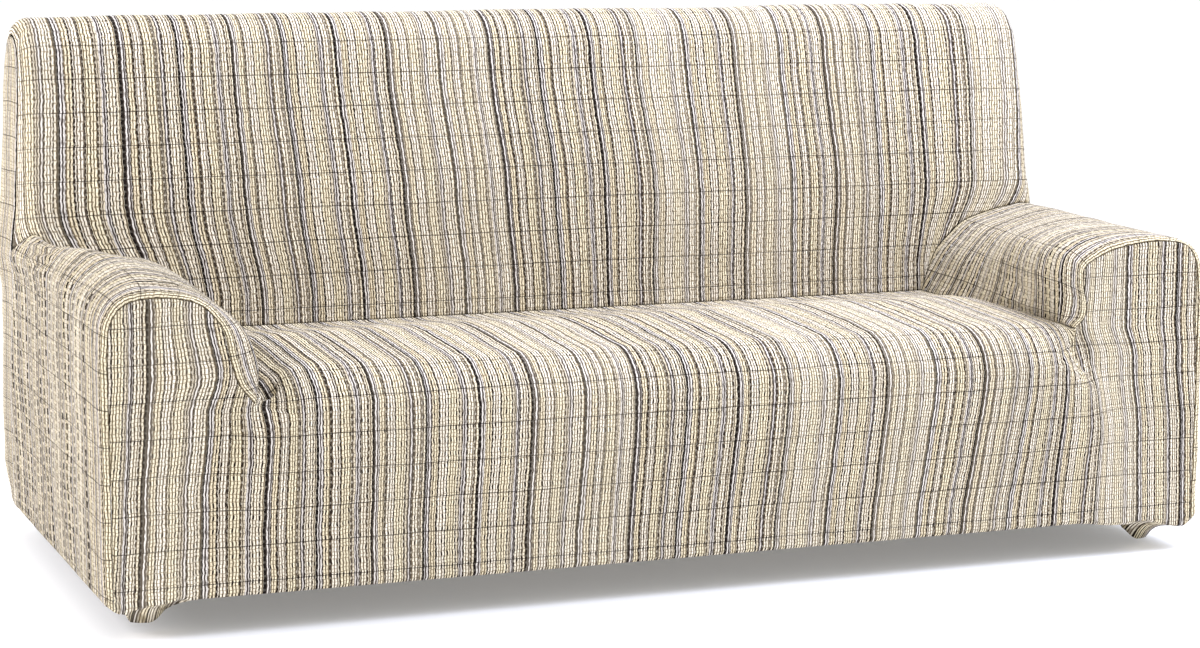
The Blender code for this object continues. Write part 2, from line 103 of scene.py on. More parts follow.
# How far the beads, the rows of cells and the weft lines drift with their mottles
BEAD_DRIFT = 9.0
ROW_DRIFT = 0.30
ROW_SCATTER = 0.10
WEFT_DRIFT = 0.08

# How the cloth hangs is kept at each of its points: below zero where it is slack and its crinkles
# close up, zero where it hangs plain, above zero where it is pulled tight.
SLACK_SIDE = -2.0
SLACK = -1.0
PLAIN = 0.0
TIGHT = 1.0
TIGHT_SEAT = 1.5

# One repeat of the warp, charted across the cloth: where each band starts in millimetres, the
# colour between its threads and of the threads, how much of it the threads cover, how broken
# into dashes it is, and how far it is made of loose single threads instead of puffed cells.
Band = namedtuple("Band", "start ground thread cover dashes loose")
BANDS = (
    Band(0.0, "110C09", "30271F", 0.20, 0.08, 0.0),
    Band(1.5, "433A34", "EAE3DA", 0.90, 0.0, 1.0),
    Band(8.6, "2A211B", "8C7E6B", 0.40, 0.40, 0.0),
    Band(10.0, "6E5F46", "F3E4C4", 0.95, 0.0, 0.0),
    Band(20.0, "1E1611", "5A4C3C", 0.25, 0.22, 0.0),
    Band(22.6, "6C5D49", "FAF0DC", 0.95, 0.0, 0.0),
    Band(35.4, "1E1611", "5A4C3C", 0.25, 0.22, 0.0),
    Band(37.6, "67583F", "F9ECCC", 0.95, 0.0, 0.0),
    Band(53.6, "2E251E", "80735F", 0.35, 0.40, 0.0),
    Band(55.8, "5A4E3F", "EADCC0", 0.80, 0.10, 0.0),
    Band(61.0, "3C342F", "E6DED5", 0.86, 0.0, 1.0),
    Band(66.8, "251D18", "6A5E50", 0.30, 0.30, 0.0),
    Band(69.0, "685942", "FAEFD8", 0.95, 0.0, 0.0),
    Band(80.4, "33291F", "8F8270", 0.40, 0.45, 0.0),
    Band(82.4, "65563F", "F4E7CC", 0.92, 0.0, 0.0),
    Band(87.2, "110C09", "30271F", 0.20, 0.08, 0.0),
)


def dyed(shade):
    """Linear colour of a yarn from its shade in hexadecimal."""
    parts = [int(shade[k:k + 2], 16) / 255 for k in (0, 2, 4)]
    return [part / 12.92 if part <= 0.04045 else ((part + 0.055) / 1.055) ** 2.4 for part in parts]


class Value:
    """A number that differs from place to place on the cloth, and is reckoned with like any other."""

    def __init__(self, loom, socket):
        self.loom, self.socket = loom, socket

    def __add__(self, other):
        return self.loom.math("ADD", self, other)

    def __sub__(self, other):
        return self.loom.math("SUBTRACT", self, other)

    def __rsub__(self, other):
        return self.loom.math("SUBTRACT", other, self)

    def __mul__(self, other):
        return self.loom.math("MULTIPLY", self, other)

    def __truediv__(self, other):
        return self.loom.math("DIVIDE", self, other)

    def __abs__(self):
        return self.loom.math("ABSOLUTE", self)

    def __mod__(self, other):
        return self.loom.math("FLOORED_MODULO", self, other)

    def __lt__(self, other):
        return self.loom.math("LESS_THAN", self, other)

    def __gt__(self, other):
        return self.loom.math("GREATER_THAN", self, other)

    __radd__, __rmul__ = __add__, __mul__


class Loom:
    """The node tree of a cloth, made a thread at a time."""

    def __init__(self, tree):
        self.tree = tree

    def feed(self, socket, value):
        if isinstance(value, Value):
            self.tree.links.new(value.socket, socket)
        else:
            socket.default_value = value

    def node(self, kind, *values, output=0, **settings):
        node = self.tree.nodes.new(kind)
        for name, value in settings.items():
            setattr(node, name, value)
        for socket, value in zip(node.inputs, values):
            self.feed(socket, value)
        return Value(self, node.outputs[output])

    def math(self, operation, *values):
        return self.node("ShaderNodeMath", *values, operation=operation)

    def whole(self, value):
        return self.math("FLOOR", value)

    def part(self, value):
        return self.math("FRACT", value)

    def from_middle(self, value):
        """How far a value's fraction is from one half."""
        return abs(self.part(value) - 0.5)

    def larger(self, one, other):
        return self.math("MAXIMUM", one, other)

    def either(self, share, low, high):
        """low where share is 0 and high where it is 1."""
        return low + share * (high - low)

    def level(self, value, low, high, start=0.0, end=1.0):
        """value taken smoothly from start to end as it goes from low to high."""
        ends = (low, high, start, end)
        return self.node("ShaderNodeMapRange", value, *ends, interpolation_type="SMOOTHSTEP")

    def waves(self, value, length, phase):
        return self.math("SINE", value * (2 * math.pi / length) + phase)

    def split(self, vector, part):
        return self.node("ShaderNodeSeparateXYZ", vector, output=part)

    def mottle(self, place, scale, detail):
        node = self.tree.nodes.new("ShaderNodeTexNoise")
        for name, value in (("Scale", scale), ("Detail", detail), ("Vector", place)):
            self.feed(node.inputs[name], value)
        return Value(self, node.outputs["Fac"])

    def chance(self, *numbers):
        """A number from 0 to 1 that belongs to each pair of whole numbers. Where the second is a
        fixed one, it only keeps one draw apart from the others."""
        pair = self.node("ShaderNodeCombineXYZ", *numbers)
        return self.node("ShaderNodeTexWhiteNoise", pair, noise_dimensions="2D", output="Value")

    def blend(self, share, low, high, kind="MIX"):
        node = self.tree.nodes.new("ShaderNodeMix")
        node.data_type, node.blend_type = "RGBA", kind
        for name, value in (("Factor_Float", share), ("A_Color", low), ("B_Color", high)):
            socket = next(s for s in node.inputs if s.identifier == name)
            self.feed(socket, (*dyed(value), 1.0) if isinstance(value, str) else value)
        return Value(self, next(s for s in node.outputs if s.identifier == "Result_Color"))

    def chart(self, across, colours):
        """The bands of one repeat side by side, each with its colour."""
        stops = [(band.start / (REPEAT * 1000), (*colour, 1.0)) for band, colour in zip(BANDS, colours)]
        node = self.tree.nodes.new("ShaderNodeValToRGB")
        self.feed(node.inputs[0], across)
        ramp = node.color_ramp
        ramp.interpolation = "CONSTANT"
        for place, colour in stops[1:]:
            ramp.elements.new(place).color = colour
        ramp.elements[0].color = stops[0][1]
        ramp.elements.remove(max(ramp.elements, key=lambda element: element.position))
        return Value(self, node.outputs["Color"])


def striped_cloth():
    """The cloth's material, from the metres kept with each panel and how the cloth hangs there."""
    material = bpy.data.materials.new("striped_crinkle_cloth")
    material.use_nodes = True
    shader = material.node_tree.nodes["Principled BSDF"]
    shader.inputs["Metallic"].default_value = 0.0
    shader.inputs["Specular IOR Level"].default_value = 0.08
    loom = Loom(material.node_tree)
    metres = loom.node("ShaderNodeUVMap", uv_map="cloth")
    across, along = loom.split(metres, 0), loom.split(metres, 1)
    pull = loom.split(loom.node("ShaderNodeAttribute", attribute_name="metres", output="Vector"), 2)

    # The warp wanders a little, in long waves and in the bead of each crinkle.
    stretched = loom.node("ShaderNodeVectorMath", metres, CRINKLE_STRETCH, operation="MULTIPLY")
    wander = (loom.mottle(stretched, *WANDER_SPOTS) - 0.5) * WANDER
    bead = loom.waves(along, BEAD_LENGTH, loom.mottle(metres, *BEAD_SPOTS) * BEAD_DRIFT)
    warp = bead * BEAD_SWAY + across + wander

    repeats = warp / REPEAT
    within, number = loom.part(repeats), loom.whole(repeats)
    ground = loom.chart(within, [dyed(band.ground) for band in BANDS])
    thread = loom.chart(within, [dyed(band.thread) for band in BANDS])
    kinds = loom.chart(within, [(band.cover, band.dashes, band.loose) for band in BANDS])
    cover, dashes, loose = (loom.node("ShaderNodeSeparateColor", kinds, output=k) for k in range(3))

    # The puffed cells stand in columns. Where the cloth hangs slack, a tall row is followed by two
    # short ones. Where it is pulled tight the rows are even and step up and down by turns.
    columns = warp / CELL_WIDTH
    column = loom.whole(columns)
    furrow = loom.whole(columns + 0.5)
    drift = loom.mottle(metres, *ROW_SPOTS) * ROW_DRIFT
    part_way = loom.part(along / CREPE_PERIOD + loom.chance(column, 3.0) * ROW_SCATTER + drift)
    tall = part_way < TALL_SHARE
    short = loom.part((part_way - TALL_SHARE) / SHORT_SHARE)
    slack_row = loom.either(tall, short, part_way / TALL_SHARE)
    step = loom.whole(furrow * 0.5) % 2.0 * 0.5
    pulled = along / (loom.larger(pull, TIGHT) * PULLED_PERIOD) + (step + drift)
    tight = pull > TIGHT / 2
    long_row = loom.larger(tall, tight)
    row_way = loom.either(tight, slack_row, loom.part(pulled))
    row = loom.whole(long_row * 0.5 + pulled)
    luck = loom.chance(column, row)
    from_column, from_row = loom.from_middle(columns), abs(row_way - 0.5)
    puff = (1.0 - loom.level(from_column, *CELL_SIDE)) * (1.0 - loom.level(from_row, *CELL_END))

    # Every other furrow between the columns is deep and wide, and shows as a row of dark dashes,
    # which are fainter on the back and the arms.
    odd = furrow % 2.0
    dash = loom.level(from_column - (odd * -0.13 + 0.34), *DASH_SIDE)
    dash = dash * (1.0 - loom.level(from_row, *DASH_END)) * (long_row * 0.75 + 0.25) * (odd * 0.74 + 0.26)
    faint = (abs(pull) > TIGHT / 2) - (pull > (TIGHT + TIGHT_SEAT) / 2)
    dash = dash * (faint * -0.35 + 1.0) * loom.level(loom.chance(furrow, row), *DASH_LUCK)

    # Loose threads lie side by side in the grey bands and come and go along their length.
    threads = warp / LOOSE_THREAD
    comes = loom.waves(along, LOOSE_LENGTH, loom.chance(loom.whole(threads), 11.0) * 6.28)
    loose_thread = loom.level(loom.from_middle(threads), *THREAD_SIDE)
    loose_thread = loose_thread * loom.level(comes, *THREAD_END)
    shown = loom.either(loose, puff * (luck * 0.30 + 0.75), loose_thread) * cover

    # Broken warp lines show pale gaps between their dashes.
    dash_rows = along / BROKEN_LENGTH + loom.chance(loom.whole(warp / BROKEN_WIDTH), 7.0)
    broken = loom.level(loom.from_middle(dash_rows), *BROKEN_GAP) * dashes

    colour = loom.blend(shown, ground, thread)
    colour = loom.blend(broken, colour, PALE_YARN)
    colour = loom.blend(dash * (loose * -0.8 + 0.95), colour, DARK_YARN)

    # On the arms the crinkles close up, and the shade in their folds is painted on as longer dark dashes,
    # set wider apart on the arms' outer sides.
    folds = warp / ((pull < (SLACK + SLACK_SIDE) / 2) * FOLD_ACROSS + FOLD_ACROSS)
    fold = loom.whole(folds)
    fold_rows = along / FOLD_ALONG + loom.chance(fold, 13.0)
    fold_shadow = loom.level(loom.from_middle(folds), *FOLD_SIDE)
    fold_shadow = fold_shadow * loom.level(loom.from_middle(fold_rows), *FOLD_END)
    fold_shadow = fold_shadow * loom.level(loom.chance(fold, loom.whole(fold_rows)), *FOLD_LUCK)
    fold_shadow = fold_shadow * (pull < SLACK / 2) * (warp > FOLD_START)
    # Painted shade: the folds are darkened here with the shadow colour
    colour = loom.blend(fold_shadow, colour, FOLD_SHADOW_COLOUR)

    # Thin dark weft lines, wavering a little.
    weft_half = WEFT_WIDTH / WEFT_SPACING / 2
    from_weft = loom.from_middle(along / WEFT_SPACING + loom.mottle(metres, *WEFT_SPOTS) * WEFT_DRIFT)
    weft_line = loom.level(from_weft, weft_half * 0.6, weft_half * 1.6, 0.80, 0.0)
    colour = loom.blend(weft_line, colour, DARK_YARN)

    # The dye and the stretch vary from place to place, and the ochre from repeat to repeat.
    pale = (loom.chance(number, 5.0) > 0.5) * (loom.chance(number, 9.0) * 0.35)
    colour = loom.blend(pale, colour, loom.blend(shown, WORN_GROUND, WORN_THREAD), "LIGHTEN")
    fibre = loom.mottle(metres, *FIBRE_SPOTS) * 0.40 + 0.80
    dye = (loom.mottle(metres, *DYE_SPOTS) * 0.24 + 0.88) * fibre
    colour = loom.blend(1.0, colour, loom.node("ShaderNodeCombineXYZ", dye, dye, dye), "MULTIPLY")
    loom.feed(shader.inputs["Base Color"], colour)
    loom.feed(shader.inputs["Roughness"], puff * -0.12 + 0.92)

    # The crinkle: the cells puff up, the dark lines and the weft lines lie low between them.
    relief = shown * (luck * 0.5 + 0.75) + loom.mottle(stretched, *RELIEF_SPOTS) * 0.7 - (weft_line + dash)
    # The fold shadows also lower the bump here, as real relief
    relief = relief - fold_shadow * 1.5 + fibre * 0.3
    bump = material.node_tree.nodes.new("ShaderNodeBump")
    for name, value in (("Strength", CRINKLE_STRENGTH), ("Distance", CRINKLE_HEIGHT), ("Height", relief)):
        loom.feed(bump.inputs[name], value)
    material.node_tree.links.new(bump.outputs["Normal"], shader.inputs["Normal"])
    return material


CLOTH = striped_cloth()


# ------------------------------------------------------------------------------------------
# The seat, the skirt and the arm fronts, one panel of cloth. It is pulled down over the seat
# and tucked into the creases beside the arms and below the back. Its hem is turned under, and
# at each front corner it droops and is drawn down into a short round sock.

CLOTH_THICKNESS = 0.0024
SEAM_GAP = 0.0004
HALF_WIDTH = 1.010
HEM_HEIGHT = 0.064
HEM_TURN = 0.009
HEM_CLOTH = 0.014
SIDE_BOTTOM = HEM_HEIGHT + HEM_TURN
SEAT_HALF_WIDTH = 0.668
SEAT_END_FULLNESS = 1.6
SEAT_FRONT_HEIGHT = 0.432
SEAT_CROWN = 0.010
SEAT_FALL = 0.4
SEAT_ROLL_DEPTH = 0.095
SEAT_ROLL_HEIGHT = 0.072
SKIRT_BULGE = 0.045
BULGE_FADE = 0.085
CREASE_Y = 0.606
CREASE_Z = 0.408
ROLL_Y = 0.770
ROLL_Z = 0.870
ROLL_RADIUS = 0.090

# Places are given as it is worn: x across from the middle, y to the rear from the arm fronts
# and z up from the floor. The part's own origin lies there at:
ORIGIN = Vector((0.0, ROLL_Y, ROLL_Z + ROLL_RADIUS - CLOTH_THICKNESS))

# The arms, a row for each place on the way from the seat crease over the arm to the hem: the
# full section just behind the arm front, the seam on the arm front, the section where the arm
# meets the back, and the depth of the rounded front edge.
Place = namedtuple("Place", "outline_x outline_z seam_x seam_z rear_x rear_z edge")
LEFT_ARM = (
    Place(0.752, 0.380, 0.755, 0.378, 0.747, 0.408, 0.018),
    Place(0.741, 0.415, 0.781, 0.411, 0.762, 0.450, 0.040),
    Place(0.744, 0.456, 0.794, 0.450, 0.779, 0.484, 0.048),
    Place(0.763, 0.494, 0.803, 0.492, 0.806, 0.512, 0.048),
    Place(0.792, 0.525, 0.821, 0.524, 0.838, 0.537, 0.044),
    Place(0.838, 0.556, 0.851, 0.547, 0.885, 0.549, 0.040),
    Place(0.885, 0.573, 0.895, 0.556, 0.950, 0.552, 0.036),
    Place(0.945, 0.577, 0.948, 0.554, 0.985, 0.583, 0.032),
    Place(0.988, 0.553, 0.975, 0.538, 1.019, 0.552, 0.028),
    Place(1.004, 0.510, 0.990, 0.503, 1.012, 0.505, 0.024),
    Place(1.007, 0.300, 0.991, 0.300, 1.010, 0.300, 0.016),
    Place(1.005, SIDE_BOTTOM, 0.990, SIDE_BOTTOM, 1.004, SIDE_BOTTOM, 0.015),
)
RIGHT_ARM = (
    Place(0.738, 0.423, 0.743, 0.424, 0.747, 0.408, 0.018),
    Place(0.727, 0.444, 0.760, 0.441, 0.762, 0.450, 0.036),
    Place(0.722, 0.482, 0.763, 0.466, 0.779, 0.484, 0.042),
    Place(0.724, 0.520, 0.756, 0.496, 0.806, 0.512, 0.045),
    Place(0.740, 0.553, 0.758, 0.529, 0.838, 0.537, 0.042),
    Place(0.785, 0.575, 0.796, 0.553, 0.885, 0.553, 0.038),
    Place(0.850, 0.583, 0.850, 0.567, 0.935, 0.564, 0.034),
    Place(0.928, 0.579, 0.918, 0.571, 0.980, 0.568, 0.030),
    Place(0.984, 0.558, 0.968, 0.559, 1.019, 0.552, 0.026),
    Place(1.006, 0.515, 0.989, 0.515, 1.013, 0.505, 0.022),
    Place(1.010, 0.300, 0.993, 0.300, 1.011, 0.300, 0.016),
    Place(1.008, SIDE_BOTTOM, 0.992, SIDE_BOTTOM, 1.005, SIDE_BOTTOM, 0.015),
)
INNER_END = 4
TOP_END = 8
OUTER_END = 11

# Where the swell of the seat front ends beside the arm front: height and x
BULGE_END = ((0.424, 0.744), (0.378, 0.757), (0.350, 0.795), (0.325, 0.815), (0.250, 0.832), (0.064, 0.840))

# Where each repeat of the stripes starts across the front: x at five heights
FRONT_LEVELS = (0.07, 0.22, 0.36, 0.43, 0.52)
FrontLine = namedtuple("FrontLine", "repeat hem low high shoulder top")
FRONT_LINES = [FrontLine(*line) for line in (
    (-11, -1.045, -1.037, -1.030, -1.026, -1.024),
    (-10, -0.949, -0.942, -0.933, -0.928, -0.927),
    (-9, -0.848, -0.844, -0.832, -0.815, -0.832),
    (-8, -0.743, -0.747, -0.743, -0.731, -0.735),
    (-7, -0.656, -0.661, -0.665, -0.665, -0.665),
    (-6, -0.562, -0.567, -0.571, -0.571, -0.571),
    (-5, -0.475, -0.479, -0.482, -0.482, -0.482),
    (-4, -0.385, -0.388, -0.390, -0.390, -0.390),
    (-3, -0.295, -0.297, -0.299, -0.299, -0.299),
    (-2, -0.205, -0.205, -0.205, -0.205, -0.205),
    (-1, -0.112, -0.114, -0.116, -0.116, -0.116),
    (0, -0.025, -0.024, -0.024, -0.024, -0.024),
    (1, 0.068, 0.069, 0.070, 0.070, 0.070),
    (2, 0.160, 0.162, 0.164, 0.164, 0.164),
    (3, 0.255, 0.257, 0.258, 0.258, 0.258),
    (4, 0.345, 0.348, 0.350, 0.350, 0.350),
    (5, 0.432, 0.438, 0.444, 0.444, 0.444),
    (6, 0.522, 0.530, 0.538, 0.538, 0.538),
    (7, 0.612, 0.620, 0.627, 0.627, 0.627),
    (8, 0.705, 0.703, 0.700, 0.690, 0.690),
    (9, 0.791, 0.792, 0.774, 0.754, 0.760),
    (10, 0.880, 0.876, 0.861, 0.844, 0.843),
    (11, 0.969, 0.965, 0.953, 0.947, 0.947),
    (12, 1.058, 1.054, 1.045, 1.041, 1.041),
)]

# Sizes of the cloth near a seam: the rolled edge that is tucked in, the ridge of the seam
# allowance beside it, and the puckers
TUCK_REACH = 0.0026
TUCK_DEPTH = 0.0014
RIDGE_AT = 0.0075
RIDGE_WIDTH = 0.0050
PUCKER_REACH = 0.034
BEADS_PER_METRE = 23
PUCKERS_PER_METRE = 62
FINE_PUCKERS_PER_METRE = 118
PLAIN_RIDGE = 0.0008
PLAIN_PUCKER = 0.0012
CREASE_START = 0.010
CREASE_REACH = 3
CREASE_RISE = 0.25
CREASE_FADE = 0.45
CREASE_HEAD = 0.25

# The creases drawn in the cloth, in millimetres: how far each stands up (a trough is below
# 0), its width and its path
Crease = namedtuple("Crease", "height width path")
FRONT_CREASES = (
    Crease(-22, 12, ((-748, 12, 388), (-729, 12, 399), (-712, 10, 406))),
    Crease(-5, 8, ((-716, 4, 402), (-715, 39, 415), (-703, 129, 426))),
    Crease(4, 8, ((-704, 6, 413), (-702, 50, 420), (-696, 110, 428))),
    Crease(-4, 9, ((-700, 8, 411), (-694, 79, 427), (-684, 160, 434))),
    Crease(3, 10, ((-696, -2, 405), (-690, -20, 380), (-690, -30, 340))),
    Crease(-3, 9, ((-745, 4, 372), (-752, -6, 345), (-752, -14, 300))),
    Crease(3, 9, ((-765, 2, 392), (-775, -2, 360), (-780, -6, 310))),
    Crease(-3, 8, ((-931, 0, 545), (-936, 0, 520), (-938, 0, 485))),
    Crease(4, 9, ((-910, 0, 548), (-914, 0, 530), (-915, 0, 505))),
    Crease(-3, 8, ((-888, 0, 545), (-884, 0, 520), (-884, 0, 490))),
    Crease(-7, 10, ((740, 0, 412), (732, -8, 390), (741, -18, 372),
                    (757, -22, 350), (771, -21, 325), (781, -15, 290))),
    Crease(4, 11, ((760, 0, 436), (771, 0, 416), (788, -10, 370), (798, -10, 310))),
    Crease(3, 11, ((717, -10, 385), (722, -18, 368), (735, -26, 352), (745, -28, 330))),
    Crease(-8, 10, ((721, -22, 360), (729, -26, 350), (736, -30, 338))),
    Crease(-4, 8, ((727, -26, 350), (716, -30, 345), (696, -36, 343))),
    Crease(-4, 8, ((730, -28, 345), (723, -34, 325), (716, -36, 298))),
    Crease(3, 10, ((712, -34, 335), (704, -36, 318), (697, -36, 295))),
)

FRONT = Vector((0.0, -1.0, 0.0))
RIGHT = Vector((1.0, 0.0, 0.0))


def mix(a, b, t):
    return a + (b - a) * t


def ease(t):
    """0 to 1 with level ends."""
    t = min(max(t, 0.0), 1.0)
    return t * t * (3.0 - 2.0 * t)


def table(rows, at):
    """Second column of a two-column table, read at a value of its first."""
    rows = sorted(rows)
    if at <= rows[0][0]:
        return rows[0][1]
    for (low, a), (high, b) in zip(rows, rows[1:]):
        if at <= high:
            return mix(a, b, (at - low) / (high - low))
    return rows[-1][1]


def steps(start, end, count, close_start=0.0, close_end=0.0):
    """Places from start to end, drawn closer together at either end where a share is given."""
    places = []
    for k in range(count + 1):
        t = k / count
        t += close_start * (t * (1 - t) ** 3 * -1.0) + close_end * (t ** 3 * (1 - t))
        places.append(mix(start, end, t))
    return places


@lru_cache(maxsize=None)
def arm_row(arm, s):
    """A row of an arm's table at any place s, on smooth curves through its rows."""
    knots = [0.0]
    for a, b in zip(arm, arm[1:]):
        knots.append(knots[-1] + math.hypot(b.outline_x - a.outline_x, b.outline_z - a.outline_z))
    i = min(int(s), len(arm) - 2)
    f = s - i
    span = knots[i + 1] - knots[i]

    def slope(k, column):
        low, high = max(k - 1, 0), min(k + 1, len(arm) - 1)
        return (arm[high][column] - arm[low][column]) / (knots[high] - knots[low])

    values = []
    for column in range(len(arm[0])):
        a, b = arm[i][column], arm[i + 1][column]
        bend_a = slope(i, column) * span
        bend_b = slope(i + 1, column) * span
        blend = f * f * (3 - 2 * f)
        values.append(mix(a, b, blend) + bend_a * f * (1 - f) ** 2 - bend_b * f * f * (1 - f))
    return Place(*values)


def arm_beside(x):
    return LEFT_ARM if x < 0 else RIGHT_ARM


def arm_seam(arm, s):
    """A place on the seam round the arm front."""
    row = arm_row(arm, s)
    return Vector((row.seam_x, 0.0, row.seam_z))


def arm_edge(arm, s, v):
    """The rounded front edge of an arm, from the seam (0) to the full section (1)."""
    row = arm_row(arm, s)
    angle = v * math.pi / 2
    x = mix(row.seam_x, row.outline_x, math.sin(angle))
    z = mix(row.seam_z, row.outline_z, math.sin(angle))
    return Vector((x, row.edge * (1 - math.cos(angle)), z))


def turn_under(point, out, share):
    """The hem: the cloth turns under through a quarter round, share from 0 to 1."""
    angle = share * math.pi / 2
    level = -out * HEM_TURN * (1 - math.cos(angle))
    down = Vector((0.0, 0.0, -HEM_TURN * math.sin(angle)))
    return point + level + down


def skirt_y(x, z):
    """How far the skirt swells in front of the arm fronts."""
    rise = ease((z - HEM_HEIGHT) / (SEAT_FRONT_HEIGHT - SEAT_ROLL_HEIGHT - HEM_HEIGHT))
    end = table(BULGE_END, z)
    return -SKIRT_BULGE * rise * (1 - ease((abs(x) - end + BULGE_FADE) / BULGE_FADE))


def seat_end(x):
    """1 over the seat, falling round to 0 at the crease beside the arm."""
    crease = arm_beside(x)[0].seam_x
    beyond = (abs(x) - SEAT_HALF_WIDTH) / (crease - SEAT_HALF_WIDTH)
    full = SEAT_END_FULLNESS
    return max(0.0, 1 - max(beyond, 0.0) ** full) ** (1 / full)


def skirt_point(x, share):
    """The skirt between the arm fronts, share from the hem (0) to the seat's front roll (1)."""
    top = mix(arm_beside(x)[0].seam_z, SEAT_FRONT_HEIGHT - SEAT_ROLL_HEIGHT, seat_end(x))
    z = mix(SIDE_BOTTOM, top, share)
    return Vector((x, skirt_y(x, z), z))


def crease_edge(arm, v):
    """The bottom of the arm's inner wall, beside the seat: v as on the seat."""
    if v <= 1:
        return arm_edge(arm, 0, v)
    row = arm_row(arm, 0)
    t = v - 1
    x = mix(row.outline_x, row.rear_x, ease(t))
    z = mix(row.outline_z, row.rear_z, ease(t))
    return Vector((x, mix(row.edge, CREASE_Y, t), z))


def seat_point(x, v):
    """The seat: v from the skirt (0) over the front roll (1) to the crease with the back (2)."""
    start_y = skirt_point(x, 1).y
    if v <= 1:
        angle = v * math.pi / 2
        y = start_y + SEAT_ROLL_DEPTH * (1 - math.cos(angle))
        z = SEAT_FRONT_HEIGHT - SEAT_ROLL_HEIGHT * (1 - math.sin(angle))
    else:
        t = v - 1
        y = mix(start_y + SEAT_ROLL_DEPTH, CREASE_Y, t)
        crown = SEAT_FRONT_HEIGHT + SEAT_CROWN * math.sin(math.pi * t)
        z = mix(crown, CREASE_Z, ease((t - SEAT_FALL) / (1 - SEAT_FALL)))
    arm = arm_beside(x)
    edge = crease_edge(arm, v)
    end = seat_end(x)
    return Vector((x * edge.x / arm[0].seam_x, mix(edge.y, y, end), mix(edge.z, z, end)))


# How far the hem droops beside each sock: distance from the middle, and the drop
LEFT_DROOP = ((0.850, 0.0), (0.880, 0.002), (0.903, 0.008), (0.935, 0.012), (0.966, 0.016),
              (0.981, 0.014), (0.993, 0.007), (1.005, 0.001))
RIGHT_DROOP = ((0.760, 0.0), (0.790, 0.003), (0.824, 0.008), (0.908, 0.011), (0.929, 0.018),
               (0.954, 0.024), (0.970, 0.025), (0.982, 0.021), (0.991, 0.014), (1.008, 0.003))
DROOP_HEIGHT = 0.080
DROOP_DEPTH = 0.060

# The socks: the rings on which the hem ends, and how it is gathered on to them
SOCK_Y = 0.108
SOCK_RING = 0.037
SOCK_HALF = 0.032
SOCK_SPREAD = 0.024
SOCK_EDGE = 0.010
SOCK_DROP = 5
Sock = namedtuple("Sock", "x front_z inner_z low_half")
LEFT_SOCK = Sock(0.918, 0.016, 0.032, 0.056)
RIGHT_SOCK = Sock(0.925, 0.010, 0.034, 0.026)


def drooped(point, arm):
    """The hem's droop beside a sock, fading upwards and to the rear."""
    low = 1 - ease((point.z - HEM_HEIGHT) / DROOP_HEIGHT)
    near = 1 - ease(point.y / DROOP_DEPTH)
    drop = table(LEFT_DROOP if arm is LEFT_ARM else RIGHT_DROOP, point.x)
    return point - Vector((0.0, 0.0, drop * low * near))


def drawn_to_sock(point, arm, x, share):
    """Draw the turned hem of the arm front down and back to the ring of its sock."""
    sock = LEFT_SOCK if arm is LEFT_ARM else RIGHT_SOCK
    off = x - sock.x
    back = 1 - ease((abs(off) - SOCK_HALF) / SOCK_SPREAD)
    down = back * (1 - ease((off - sock.low_half) / SOCK_EDGE))
    angle = min(max(off / SOCK_RING, -math.pi / 2), math.pi / 2)
    height = mix(sock.front_z, sock.inner_z, ease(-angle))
    ring = Vector((sock.x + SOCK_RING * math.sin(angle), SOCK_Y - SOCK_RING * math.cos(angle), height))
    drawn = point.lerp(ring, back * share ** 2)
    drawn.z = mix(point.z, height, down * share ** SOCK_DROP)
    return drawn


def line_number(lines, levels, x, z):
    """The repeat of the stripes, with its fraction, at a place on a panel."""
    z = min(max(z, levels[0]), levels[-1])
    k = max(i for i in range(len(levels) - 1) if levels[i] <= z)
    share = ease((z - levels[k]) / (levels[k + 1] - levels[k]))
    places = [(mix(line[k + 1], line[k + 2], share), line.repeat) for line in lines]
    return table(places, x)


def lay(bm, points, cloth, side=1):
    """One grid of cloth: rows of columns of points, and for each its metres on the cut cloth."""
    made = bmesh.ops.create_grid(bm, x_segments=len(points[0]) - 1, y_segments=len(points) - 1, size=0.5)
    order = sorted(made["verts"], key=lambda vert: (round(vert.co.y, 6), round(vert.co.x, 6)))
    metres = bm.verts.layers.float_vector["metres"]
    for index, vert in enumerate(order):
        row, column = divmod(index, len(points[0]))
        point = points[row][column]
        vert.co = Vector((point.x * side, point.y, point.z))
        vert[metres] = Vector(cloth[row][column])


def drawn_back(vert):
    """Where a point of a panel's edge lies once half a seam gap is taken off the panel."""
    inside = Vector()
    for beside in vert.link_faces:
        inside += beside.calc_center_median() - vert.co
    border = [edge for edge in vert.link_edges if edge.is_boundary]
    along = border[0].other_vert(vert).co - border[1].other_vert(vert).co
    inside -= along * (inside.dot(along) / along.length_squared)
    return vert.co + inside.normalized() * (SEAM_GAP / 2)


def seam_relief(off, seam_place, ridge, pucker):
    """How far cloth stands up at a distance from its seam, and near which place of the seam."""
    depth = 0.0
    if off < TUCK_REACH:
        depth = TUCK_DEPTH * (1 - math.sqrt(max(0.0, 1 - (1 - off / TUCK_REACH) ** 2)))
    bead = ridge * math.exp(-((off - RIDGE_AT) / RIDGE_WIDTH) ** 2)
    bead *= 0.65 + 0.7 * noise.noise(seam_place * BEADS_PER_METRE)
    fade = min(off / RIDGE_AT, 1.0) * (1 - ease(off / PUCKER_REACH))
    ripple = noise.noise(seam_place * PUCKERS_PER_METRE)
    ripple += 0.5 * noise.noise(seam_place * FINE_PUCKERS_PER_METRE)
    return bead + pucker * fade * ripple - depth


# The heights of the cloth's dents and swells, each with how many there are to a metre, and how
# far from a seam and above the hem they come to their full height
SWELLS = ((0.0022, 5.5), (0.0014, 15), (0.0007, 42))
CALM_SEAM = 0.05
CALM_HEM = 0.03


def unevenness(place):
    """The gentle dents and swells of cloth that is pulled over padding."""
    return sum(height * noise.noise(place * scale) for height, scale in SWELLS)


# A place inside the cover, from which every panel faces outwards
INSIDE = Vector((0.0, 0.4, 0.35))


